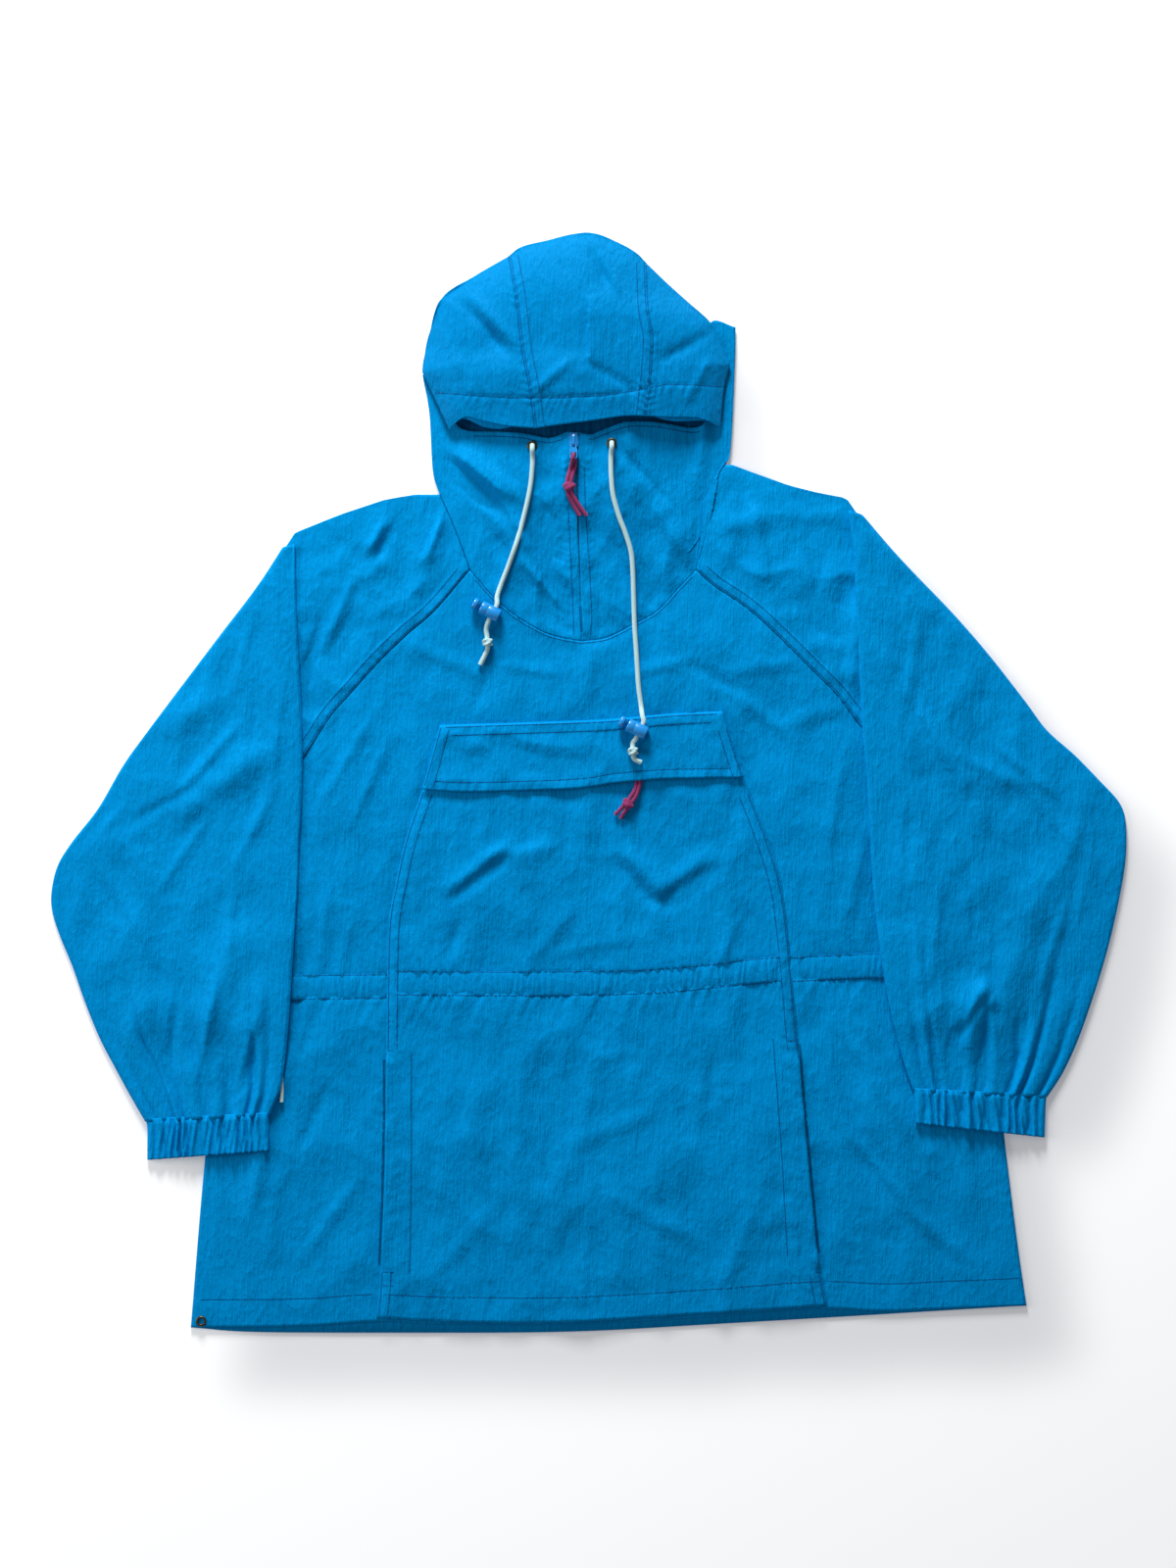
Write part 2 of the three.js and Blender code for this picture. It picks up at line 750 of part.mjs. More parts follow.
// Sections of a sleeve or cuff that lies partly on the body and partly on the ground
function sleeveRows(table, side, divisions, options) {
  const sign = Math.sign(table[0].outer);
  const outerLine = table.map((row) => ({ x: row.outer, y: row.outerY }));
  const innerLine = table.map((row) => ({ x: row.inner, y: row.innerY }));
  const outerPoints = spaced(outerLine, divisions);
  const innerPoints = matched(outerPoints, innerLine);
  return outerPoints.map((a, j) => {
    const b = innerPoints[j];
    const width = a.distanceTo(b);
    const along = j / divisions;
    const edge = edgeAt(side, (a.y + b.y) / 2);
    const over = (x, foot, head) => smooth((x - edge) * sign * -1, -foot, -head);
    const support = (x, y) => {
      const onCasing = smooth(y, -232, -205) * (1 - smooth(y, -140, -112)) * casingUnderSleeve;
      const lifted = Math.max(onCasing, reliefOf(cordUnderSleeve, x, y));
      return frontTop(x, y) + sleeveClearance + lifted;
    };
    const point = (s) => a.clone().lerp(b, s);
    const bottom = (s) => {
      const p = point(s);
      return over(p.x, ramp.foot, ramp.head) * support(p.x, p.y);
    };
    const top = (s) => {
      const p = point(s);
      const rest = over(p.x, ramp.wideFoot, -ramp.wideHead) * support(p.x, p.y);
      const fullness = options.puff * Math.sqrt(Math.max(0, Math.sin(Math.PI * s)));
      const relief = options.relief(p.x, p.y, s, along) * Math.min(1, (6 * s * (1 - s)) ** 0.7);
      const high = Math.max(rest + fullness + relief, bottom(s) - 0.6);
      return high + options.stack;
    };
    const cross = THREE.MathUtils.clamp(((edge - a.x) * -sign) / width, 0, 1);
    const foot = THREE.MathUtils.clamp(cross - ramp.foot / width, 0.12, 0.85);
    const head = THREE.MathUtils.clamp(cross - ramp.head / width, foot + 0.06, 0.94);
    const lower = [
      ...evenly(options.ground).map((s) => s * foot),
      ...evenly(options.onBody).map((s) => mix(head, 1, s)),
    ];
    return tubeSection({
      a,
      b,
      top,
      bottom,
      upper: evenly(options.upper),
      lower,
      thickness: options.thickness,
    });
  });
}

// The top of a sleeve: two layers from the neck and raglan seams to a fold hidden under the hanging part
function shoulderRows(seam, foldSide) {
  return seam.map(({ x: from, y }, j) => {
    const end = edgeAt([foldSide], y);
    const sign = Math.sign(end - from);
    const start = from + sign * seamGap * 0.8;
    const thin = j === 0 || j === seam.length - 1;
    const count = 5;
    const half = frontTop(end - sign, y) / 2;
    const x = (share) => mix(start, end - sign * half, share);
    const shares = evenly(count);
    const closeTo = thin ? 0.2 : 0;
    const upper = (skin) =>
      shares.map((s) => new THREE.Vector3(x(s), y, frontTop(x(s), y) - closeTo - skin));
    const fold = (skin) =>
      [60, 0, -60].map((degrees) => {
        const turn = THREE.MathUtils.degToRad(degrees);
        const radius = half - skin;
        const out = end - sign * (skin + radius * (1 - Math.cos(turn)));
        return new THREE.Vector3(out, y, half + radius * Math.sin(turn));
      });
    const lower = (skin) => shares.map((s) => new THREE.Vector3(x(s), y, skin)).reverse();
    const path = (skin) => [...upper(skin), ...fold(skin), ...lower(skin)];
    return { outer: path(0), inner: path(cloth) };
  });
}

function solid(geometry) {
  const bare = geometry.index ? geometry.toNonIndexed() : geometry.clone();
  const plain = new THREE.BufferGeometry().setAttribute("position", bare.getAttribute("position"));
  const merged = mergeVertices(plain, 1e-4);
  return new wasm.Manifold(
    new wasm.Mesh({
      numProp: 3,
      vertProperties: new Float32Array(merged.attributes.position.array),
      triVerts: new Uint32Array(merged.index.array),
    }),
  );
}

function geometryOf(made) {
  const mesh = made.setTolerance(0.02).getMesh();
  const geometry = new THREE.BufferGeometry();
  const position = new THREE.Float32BufferAttribute(mesh.vertProperties, 3);
  geometry.setAttribute("position", position);
  geometry.setIndex([...mesh.triVerts]);
  return geometry;
}

// A plan outline from pairs of coordinates, and a flat plate cut to one
function outline(pairs) {
  return new THREE.Shape(pairs.map(([x, y]) => new THREE.Vector2(x, y)));
}

function flat(shape, depth) {
  return new THREE.ExtrudeGeometry(shape, { depth, bevelEnabled: false });
}

// A profile of radius and height pairs turned about the Z axis
function turned(profile, segments) {
  return wasm.Manifold.revolve([profile], segments);
}

// A round cord through points in space, closed at both ends
function cordThrough(points, diameter, steps, sides = 8) {
  const curve = new THREE.CatmullRomCurve3(points.map((p) => new THREE.Vector3(p.x, p.y, p.z)));
  const section = new THREE.Shape();
  for (let i = 0; i < sides; i++) {
    const turn = (i / sides) * Math.PI * 2;
    const [x, y] = [(Math.cos(turn) * diameter) / 2, (Math.sin(turn) * diameter) / 2];
    if (i) section.lineTo(x, y);
    else section.moveTo(x, y);
  }
  section.closePath();
  return new THREE.ExtrudeGeometry(section, { steps, extrudePath: curve, curveSegments: 1 });
}

const anorak = new THREE.Group();

function add(name, geometry, finish, place = {}) {
  const mesh = new THREE.Mesh(geometry, new THREE.MeshStandardMaterial(finish));
  mesh.name = name;
  mesh.position.set(place.x ?? 0, place.y ?? 0, place.z ?? 0);
  mesh.rotation.set(place.turnX ?? 0, place.turnY ?? 0, place.turnZ ?? 0, "ZYX");
  (place.parent ?? anorak).add(mesh);
  return mesh;
}

// Body: the back lies flat on the ground, the front lies on it
const bodyRows = 13;
const raglanSteps = 8;
const neckSteps = 6;
const raglanLineLeft = spaced(raglanLeft, raglanSteps);
const raglanLineRight = spaced(raglanRight, raglanSteps);
const frontTopLine = joined(
  raglanLineLeft,
  spaced(neckLeft, neckSteps),
  spaced(neckRight, neckSteps),
  raglanLineRight,
);
const frontGrid = patch(
  frontTopLine,
  matched(frontTopLine, frontHem),
  spaced(sideLeft, bodyRows),
  spaced(sideRight, bodyRows),
);
add("front_panel", layer(drawnIn(frontGrid), frontTop), blue);

const backTopLine = joined(raglanLineLeft, straight(backNeck, [2, 4, 4, 2]), raglanLineRight);
const backRowCount = 4;
const backGrid = patch(
  backTopLine,
  matched(backTopLine, backHem),
  spaced(sideLeft, backRowCount),
  spaced(sideRight, backRowCount),
);
add("back_panel", layer(drawnIn(backGrid), () => backTop), blue);

// Sleeves: each is one cloth, held in two nodes that part in the fold at the shoulder point
function fadeIn(along, start) {
  return smooth(along, start, 1);
}

function gathers(s, along, start, waves, height) {
  const uneven = s + 0.012 * Math.sin(17 * s);
  return height * fadeIn(along, start) * Math.cos(uneven * waves * Math.PI * 2);
}

const sleeveOptions = {
  upper: 14,
  ground: 3,
  onBody: 6,
  puff: 1.6,
  stack: sleeveStack,
  thickness: cloth,
  relief: (x, y, s, along) => reliefOf(sleeveFolds, x, y) + gathers(s, along, 0.83, 6.5, 1.5),
};
const neckUpSteps = 3;
const collarRows = 8;
const collarSideRight = spaced(hoodSideRight, collarRows);
const shoulders = [
  {
    side: "left",
    table: sleeveLeft,
    under: [shoulderFoldLeft, sideLeft],
    seam: joined(spaced(neckUpLeft, neckUpSteps), reversed(raglanLineLeft)).slice(0, -1),
    foldSide: [{ x: -148, y: 250.5 }, ...shoulderTopLeft.slice(2), ...shoulderFoldLeft.slice(1)],
  },
  {
    side: "right",
    table: sleeveRight,
    under: [shoulderFoldRight, sideRight],
    seam: joined(
      collarSideRight.filter((p) => p.y < 276),
      reversed(spaced(neckUpRight, neckUpSteps)),
      raglanLineRight,
    ).slice(0, -1),
    foldSide: [{ x: 122, y: 277 }, ...shoulderTopRight.slice(2), ...shoulderFoldRight.slice(1)],
  },
];
for (const shoulder of shoulders) {
  const hanging = wall(sleeveRows(shoulder.table, shoulder.under, 15, sleeveOptions));
  const upper = wall(shoulderRows(shoulder.seam, shoulder.foldSide));
  add(`sleeve_${shoulder.side}`, hanging, blue);
  add(`shoulder_${shoulder.side}`, upper, blue);
}

// Cuffs: a doubled band drawn up by elastic
const cuffOptions = {
  upper: 32,
  ground: 6,
  onBody: 10,
  puff: 1.2,
  stack: 4.6,
  thickness: cuffCloth,
  relief: (x, y, s, along) => gathers(s, 1, 0, 11.5, 1) + 0.3 * Math.cos(s * 61 + along),
};
add("cuff_left", wall(sleeveRows(cuffLeft, [sideLeft], 2, cuffOptions), true), blue);
add("cuff_right", wall(sleeveRows(cuffRight, [sideRight], 2, cuffOptions), true), blue);

// Hood: its folded back fills the space under the crown and the collar
const hoodBackGap = 2.9;
const slit = { y: 309, halfWidth: 8, depth: 3 };

function hoodBackTop(x, y) {
  const underHood = hoodTop(x, y) - cloth * 1.35 - hoodBackGap;
  const underCollar = collarTop(x, y) - cloth * 1.2 - hoodBackGap;
  const wingLeft = (1 - smooth(x, -108, -98)) * (1 - smooth(y, 358, 380));
  const wingRight = smooth(x, 86, 98) * (1 - smooth(y, 392, 408));
  const collared = Math.max(1 - smooth(y, 318, 332), wingLeft, wingRight);
  const dip = slit.depth * Math.exp(-(((y - slit.y) / slit.halfWidth) ** 2));
  const low = Math.min(underHood, underCollar);
  return Math.max(mix(underHood, low, collared) - dip * smooth(100 - Math.abs(x), 0, 30), 1.4);
}

const hoodBackRowsIn3d = hoodBackRows.map((row) => {
  const floor = row.y > 215 ? 0 : backTop + 0.3;
  const shares = evenly(8);
  const outer = shares.map((s) => {
    const x = mix(row.left, row.right, s);
    return new THREE.Vector3(x, row.y, Math.max(hoodBackTop(x, row.y), floor + 1));
  });
  return { outer, inner: outer.map((p) => new THREE.Vector3(p.x, p.y, floor)) };
});
add("hood_back", wall(hoodBackRowsIn3d), darkBlue);

const hoodRows = 10;
const gussetTop = spaced(crown, 8);
add(
  "hood_gusset",
  layer(
    drawnIn(
      patch(
        gussetTop,
        matched(gussetTop, brimCentre),
        spaced(gussetSeamLeft, hoodRows),
        spaced(gussetSeamRight, hoodRows),
      ),
    ),
    hoodTop,
  ),
  blue,
);
const hoodSideSteps = 7;
const sideTopLeft = spaced(crownLeft, hoodSideSteps);
add(
  "hood_side_left",
  layer(
    drawnIn(
      patch(
        sideTopLeft,
        matched(sideTopLeft, brimLeft),
        matched(spaced(gussetSeamLeft, hoodRows), brimSideLeft),
        spaced(gussetSeamLeft, hoodRows),
      ),
    ),
    hoodTop,
  ),
  blue,
);
const sideTopRight = spaced(crownRight, hoodSideSteps);
add(
  "hood_side_right",
  layer(
    drawnIn(
      patch(
        sideTopRight,
        matched(sideTopRight, brimRight),
        spaced(gussetSeamRight, hoodRows),
        matched(spaced(gussetSeamRight, hoodRows), brimSideRight),
      ),
    ),
    hoodTop,
  ),
  blue,
);

// Collar: the lower part of the hood's sides, from the neck seam to the zip
const neckLineLeft = joined(spaced(neckUpLeft, neckUpSteps), spaced(neckLeft, neckSteps));
const neckLineRight = joined(spaced(neckRight, neckSteps), spaced(neckUpRight, neckUpSteps));
add(
  "collar_left",
  layer(
    drawnIn(
      patch(
        matched(neckLineLeft, collarTopLeft),
        neckLineLeft,
        spaced(hoodSideLeft, collarRows),
        spaced(zipLineLeft, collarRows),
      ),
    ),
    collarTop,
  ),
  blue,
);
add(
  "collar_right",
  layer(
    drawnIn(
      patch(
        matched(neckLineRight, collarTopRight),
        neckLineRight,
        spaced(zipLineRight, collarRows),
        collarSideRight,
      ),
    ),
    collarTop,
  ),
  blue,
);

// Kangaroo pocket on the front, and the flap on the pocket
const onFront = (lift) => (x, y) => frontTop(x, y) + lift;
const pocketLift = layGap + cloth;
const pocketTopLine = spaced(pocketTop, 12);
const pocketRows = 15;
add(
  "pocket_panel",
  layer(
    patch(
      pocketTopLine,
      matched(pocketTopLine, pocketHem),
      spaced(pocketLeft, pocketRows),
      spaced(pocketRight, pocketRows),
    ),
    onFront(pocketLift),
  ),
  blue,
);
const zipTape = { y: 13, halfWidth: 5, from: -116, to: 104, thickness: 1 };
const flapLift = pocketLift + layGap + zipTape.thickness + 0.4 + cloth;
const pullSpot = { x: 44, y: 12 };
const flapTable = pocketTop.map((p) => ({ x: p.x, y: p.y - 0.6 }));
const flapTopLine = spaced(flapTable, 14);
const flapSide = (top, bottom) => spaced([top, bottom], 4);
function flapTop(x, y) {
  const overSlider = 2.4 * Math.exp(-(((x - pullSpot.x) / 26) ** 2) - ((y - pullSpot.y) / 24) ** 2);
  return frontTop(x, y) + flapLift + overSlider;
}
add(
  "pocket_flap",
  layer(
    patch(
      flapTopLine,
      matched(flapTopLine, flapHem),
      flapSide(flapTable[0], flapHem[0]),
      flapSide(flapTable.at(-1), flapHem.at(-1)),
    ),
    flapTop,
  ),
  blue,
);
const tapeLine = (y) => spaced([{ x: zipTape.from, y }, { x: zipTape.to, y }], 8);
const tapeEnd = (x) =>
  spaced([{ x, y: zipTape.y + zipTape.halfWidth }, { x, y: zipTape.y - zipTape.halfWidth }], 1);
add(
  "pocket_zip",
  layer(
    patch(
      tapeLine(zipTape.y + zipTape.halfWidth),
      tapeLine(zipTape.y - zipTape.halfWidth),
      tapeEnd(zipTape.from),
      tapeEnd(zipTape.to),
    ),
    onFront(pocketLift + layGap + zipTape.thickness),
    zipTape.thickness,
  ),
  darkBlue,
);

// Waist casing: three gathered strips, the middle one on the pocket
const casings = [
  { name: "waist_casing_left", table: casingLeft, lift: pocketLift, waves: 6 },
  { name: "waist_casing_centre", table: casingCentre, lift: pocketLift * 2, waves: 15 },
  { name: "waist_casing_right", table: casingRight, lift: pocketLift, waves: 7 },
];
for (const casing of casings) {
  const steps = casing.waves * 2;
  const above = spaced(casing.table, steps);
  const below = above.map((p) => new THREE.Vector2(p.x, p.y - casingHeight));
  const middle = above.map((p) => new THREE.Vector2(p.x, p.y - casingHeight / 2));
  const from = casing.table[0].x;
  const to = casing.table.at(-1).x;
  const ruched = (x, y) => {
    const wave = Math.cos(((x - from) / (to - from)) * casing.waves * Math.PI * 2);
    return frontTop(x, y) + casing.lift + 0.3 + 0.3 * wave;
  };
  add(casing.name, layer([above, middle, below], ruched, 1), blue);
}

// Neck zip: a tape under the two collar edges, the slider at its top, and the tab that swings on it
function underCollarTape() {
  const rows = evenly(9).map((share) => {
    const y = mix(300, 128, share);
    const centre = mix(-11, -6.2, share);
    const outer = [-7, 0, 7].map((dx) => {
      const x = centre + dx;
      return new THREE.Vector3(x, y, collarTop(x, y) - cloth * 1.2 - layGap);
    });
    return { outer, inner: outer.map((p) => new THREE.Vector3(p.x, p.y, p.z - 1)) };
  });
  return wall(rows);
}
add("neck_zip", underCollarTape(), darkBlue);

const sliderSpot = { x: -13, y: 296 };
const sliderBase = collarTop(sliderSpot.x, sliderSpot.y) + 0.7;
const halfSlider = { x: slider.width / 2, y: slider.length / 2 };
const sliderOutline = outline([
  [-halfSlider.x, 2 - halfSlider.y],
  [1.6 - halfSlider.x, -halfSlider.y],
  [halfSlider.x - 1.6, -halfSlider.y],
  [halfSlider.x, 2 - halfSlider.y],
  [halfSlider.x - 0.6, halfSlider.y],
  [0.6 - halfSlider.x, halfSlider.y],
]);
const bridge = { halfLength: 5, halfOpening: 3.4, top: 3, opening: 1.7, width: 2 };
const bridgeOutline = outline([
  [-bridge.halfLength, 0],
  [-bridge.halfOpening, 0],
  [-bridge.halfOpening, bridge.opening],
  [bridge.halfOpening, bridge.opening],
  [bridge.halfOpening, 0],
  [bridge.halfLength, 0],
  [bridge.halfLength, bridge.top - 1.1],
  [bridge.halfOpening, bridge.top],
  [-bridge.halfOpening, bridge.top],
  [-bridge.halfLength, bridge.top - 1.1],
]);
const bridgeSolid = solid(flat(bridgeOutline, bridge.width))
  .translate([0, 0, -bridge.width / 2])
  .rotate([90, 0, 90])
  .translate([0, 0, slider.plate - 0.02]);
const sliderSolid = solid(flat(sliderOutline, slider.plate)).add(bridgeSolid);
add("zip_slider", geometryOf(sliderSolid), plasticBlue, { ...sliderSpot, z: sliderBase });

// The tab's bar lies in the bridge and turns there; the far end carries the cord pull
const tabPivot = { x: sliderSpot.x, y: sliderSpot.y - 2.2, z: sliderBase + slider.plate + 0.85 };
const tabBar = 0.5;
const tabOutline = outline([
  [-tab.neck / 2, tabBar],
  [-tab.neck / 2, -4.2],
  [-tab.width / 2, -6.5],
  [-tab.width / 2, 1.2 - tab.length],
  [1.2 - tab.width / 2, -tab.length],
  [tab.width / 2 - 1.2, -tab.length],
  [tab.width / 2, 1.2 - tab.length],
  [tab.width / 2, -6.5],
  [tab.neck / 2, -4.2],
  [tab.neck / 2, tabBar],
]);
const pullHole = { from: -8.6, to: 1.3 - tab.length, halfWidth: 2.3 };
tabOutline.holes.push(
  outline([
    [-tab.eye / 2, -tabBar],
    [tab.eye / 2, -tabBar],
    [tab.eye / 2, -3.9],
    [-tab.eye / 2, -3.9],
  ]),
  outline([
    [-pullHole.halfWidth, pullHole.from],
    [pullHole.halfWidth, pullHole.from],
    [pullHole.halfWidth, pullHole.to],
    [-pullHole.halfWidth, pullHole.to],
  ]),
);
const tabGeometry = flat(tabOutline, tab.thickness);
tabGeometry.translate(0, 0, -tab.thickness / 2);
const tabTilt = THREE.MathUtils.degToRad(-tab.tilt);
add("zip_tab", tabGeometry, plasticBlue, { ...tabPivot, turnX: tabTilt });

// Heights of what a cord can lie on
function surfaceAt(x, y) {
  const onPocket = y < 58 && y > -460 && Math.abs(x) < 120;
  const onFlap = onPocket && y > -10;
  if (onFlap) return flapTop(x, y);
  return onPocket ? frontTop(x, y) + pocketLift : collarTop(x, y);
}

function laidOut(points, radius, clearance = 0.6) {
  return points.map((p) => {
    const around = [0, 1, 2, 3, 4, 5].map((k) => {
      const turn = (k * Math.PI) / 3;
      return surfaceAt(p.x + 4 * Math.cos(turn), p.y + 4 * Math.sin(turn));
    });
    const z = Math.max(surfaceAt(p.x, p.y), ...around) + radius + clearance + (p.lift ?? 0);
    return { x: p.x, y: p.y, z };
  });
}

// The neck's pull: one cord doubled through the tab, both strands through one knot
const pullEye = {
  x: tabPivot.x,
  y: tabPivot.y - (tab.length - 3.2) * Math.cos(tabTilt),
  z: tabPivot.z - (tab.length - 3.2) * Math.sin(tabTilt),
};
const pullKnot = { x: -16.6, y: 256, lift: 1.9 };
const pullRadius = pullCordDiameter / 2;
const strand = (side, points) =>
  laidOut(points, pullRadius).map((p, i) => ({ ...p, x: p.x + side * points[i].apart }));
const pullRun = [
  { x: -4.5, y: 231, apart: 3 },
  { x: -10, y: 239, apart: 2.4 },
  { x: -15.6, y: 249, apart: 1.8, lift: 1.3 },
  { x: pullKnot.x, y: pullKnot.y, apart: 1.75, lift: 1.9 },
  { x: -16.3, y: 263, apart: 1.75, lift: 1.5 },
  { x: -14, y: 271, apart: 1.7 },
];
const pullBar = pullEye.y - 2.6;
const pullPath = [
  ...strand(-1, pullRun),
  { x: pullEye.x - 1, y: pullBar - 2.6, z: pullEye.z + 1.9 },
  { x: pullEye.x - 0.5, y: pullBar + 0.6, z: pullEye.z + 2.9 },
  { x: pullEye.x, y: pullEye.y + 0.6, z: pullEye.z + 0.5 },
  { x: pullEye.x + 0.5, y: pullBar + 0.2, z: pullEye.z - 2.3 },
  { x: pullEye.x + 1.3, y: pullBar - 3.4, z: pullEye.z - 2.9 },
  ...strand(1, pullRun).reverse(),
];
add("zip_pull", cordThrough(pullPath, pullCordDiameter, 30), magenta);

const doubleKnot = { halfWidth: 5.4, halfLength: 4.6, halfHeight: 3.4, bore: 2.05, apart: 1.75 };
function doubleKnotSolid() {
  const ball = wasm.Manifold.sphere(1, 12);
  const body = ball.scale([doubleKnot.halfWidth, doubleKnot.halfLength, doubleKnot.halfHeight]);
  const bore = wasm.Manifold.cylinder(30, doubleKnot.bore, doubleKnot.bore, 10, true);
  const across = bore.rotate([90, 0, 0]);
  const left = across.translate([-doubleKnot.apart, 0, 0]);
  const right = across.translate([doubleKnot.apart, 0, 0]);
  const between = wasm.Manifold.cube([doubleKnot.apart * 2, 30, doubleKnot.bore * 1.9], true);
  return body.subtract(left).subtract(right).subtract(between);
}
const neckKnotAt = laidOut([pullKnot], pullRadius)[0];
add("zip_pull_knot", geometryOf(doubleKnotSolid()), magenta, { ...neckKnotAt, turnZ: 0.1 });

// The pocket's slider hides under the flap; its pull comes out below the flap
const pocketZipTop = frontTop(pullSpot.x, pullSpot.y) + pocketLift + layGap + zipTape.thickness;
const pocketSlider = new THREE.BoxGeometry(10, 8, 1.6);
const pocketSliderAt = { x: pullSpot.x + 0.5, y: zipTape.y, z: pocketZipTop + 1.2 };
add("pocket_slider", pocketSlider, plasticBlue, pocketSliderAt);
const underFlap = (x, y) => frontTop(x, y) + pocketLift + 0.4 + pullRadius;
const pocketPullRun = [
  { x: 44, y: 5.8, apart: 1.7, lift: 0 },
  { x: 43.4, y: 1, apart: 1.7, lift: 0 },
  { x: 41.8, y: -6, apart: 1.7, lift: 0.3 },
  { x: 38.6, y: -12.6, apart: 1.75, lift: 1.4 },
  { x: 34, y: -18.5, apart: 1.75, lift: 1.9 },
  { x: 29.4, y: -24.4, apart: 2, lift: 1.3 },
  { x: 25.5, y: -29.5, apart: 2.8, lift: 0 },
];
const pocketStrand = (side) =>
  pocketPullRun.map((p) => ({
    x: p.x + side * p.apart * 0.86,
    y: p.y - side * p.apart * (p.y < -8 ? 0.6 : 0),
    z: underFlap(p.x, p.y) + 0.3 + p.lift,
  }));
const pocketLoop = [...pocketStrand(-1).reverse(), ...pocketStrand(1)];
add("pocket_pull", cordThrough(pocketLoop, pullCordDiameter, 20), magenta);
const pocketKnotAt = { x: 34, y: -18.5, z: underFlap(34, -18.5) + 2.2 };
const pocketKnotTurn = THREE.MathUtils.degToRad(-38);
add("pocket_pull_knot", geometryOf(doubleKnotSolid()), magenta, {
  ...pocketKnotAt,
  turnZ: pocketKnotTurn,
});

// Eyelets, drawcords, the locks on them and the knots below the locks
function addEyelet(name, spot) {
  const ring = turned(
    [
      [eyelet.bore, 0],
      [eyelet.outer, 0],
      [eyelet.outer - 0.3, eyelet.height * 0.7],
      [(eyelet.outer + eyelet.bore) / 2, eyelet.height],
      [eyelet.bore, eyelet.height * 0.7],
    ],
    12,
  );
  add(name, geometryOf(ring), brass, { ...spot, z: collarTop(spot.x, spot.y) + 0.7 });
}

const drawcords = [
  {
    side: "left",
    eye: { x: -48.6, y: 291.4 },
    path: [
      { x: -48.4, y: 281, lift: 0.4 },
      { x: -48.6, y: 272.9 },
      { x: -50.2, y: 256.7 },
      { x: -53.5, y: 240.4 },
      { x: -58.4, y: 220.9 },
      { x: -63.3, y: 204.6 },
      { x: -69.8, y: 186.7 },
      { x: -76.2, y: 170.5 },
      { x: -79.2, y: 161, lift: 1.6 },
    ],
    lockAt: { x: -84.4, y: 147.7 },
    lockTurn: -27,
    tail: [
      { x: -88.6, y: 133, lift: 1.8 },
      { x: -88, y: 127.5, lift: 1.6 },
    ],
    knotAt: { x: -87.6, y: 121.5 },
    end: [
      { x: -87.8, y: 115, lift: 1.4 },
      { x: -93.8, y: 102.2 },
    ],
  },
  {
    side: "right",
    eye: { x: 20.1, y: 293.6 },
    path: [
      { x: 19.5, y: 283, lift: 0.4 },
      { x: 19.4, y: 275 },
      { x: 19.7, y: 264.8 },
      { x: 21.3, y: 248.6 },
      { x: 26.2, y: 230.8 },
      { x: 31.9, y: 216 },
      { x: 36.8, y: 199.8 },
      { x: 38.4, y: 183.5 },
      { x: 39.2, y: 159.1 },
      { x: 40, y: 134.7 },
      { x: 41.7, y: 110.3 },
      { x: 43.3, y: 84.3 },
      { x: 45.6, y: 66, lift: 1 },
      { x: 46.6, y: 58, lift: 2.4 },
    ],
    lockAt: { x: 42.8, y: 45.8 },
    lockTurn: -25,
    tail: [
      { x: 38.4, y: 34, lift: 1.8 },
    ],
    knotAt: { x: 38.4, y: 27 },
    end: [
      { x: 39.6, y: 20.6, lift: 1.4 },
      { x: 45.5, y: 17.5 },
    ],
  },
];
const cordRadius = cordDiameter / 2;
const cordBore = cordRadius + 0.45;

function lockBarrel() {
  const profile = [
    [0, lock.socketDepth],
    [lock.socket, lock.socketDepth],
    [lock.socket, 0],
    [lock.radius - 0.6, 0],
    [lock.radius, 0.8],
    [lock.radius, lock.length - 1.3],
    [lock.radius - 1.2, lock.length],
    [0, lock.length],
  ];
  const bore = wasm.Manifold.cylinder(30, cordBore, cordBore, 12, true).rotate([90, 0, 0]);
  return turned(profile, 20)
    .translate([0, 0, -lock.length / 2 - 1])
    .rotate([0, 90, 0])
    .subtract(bore.translate([1.6, 0, 0]));
}

function lockButton() {
  const profile = [
    [0, -button.stemLength],
    [button.stem, -button.stemLength],
    [button.stem, 0],
    [button.radius, 0],
    [button.radius, button.head - 0.8],
    [button.radius - 0.9, button.head],
    [0, button.head],
  ];
  return turned(profile, 16).rotate([0, -90, 0]);
}

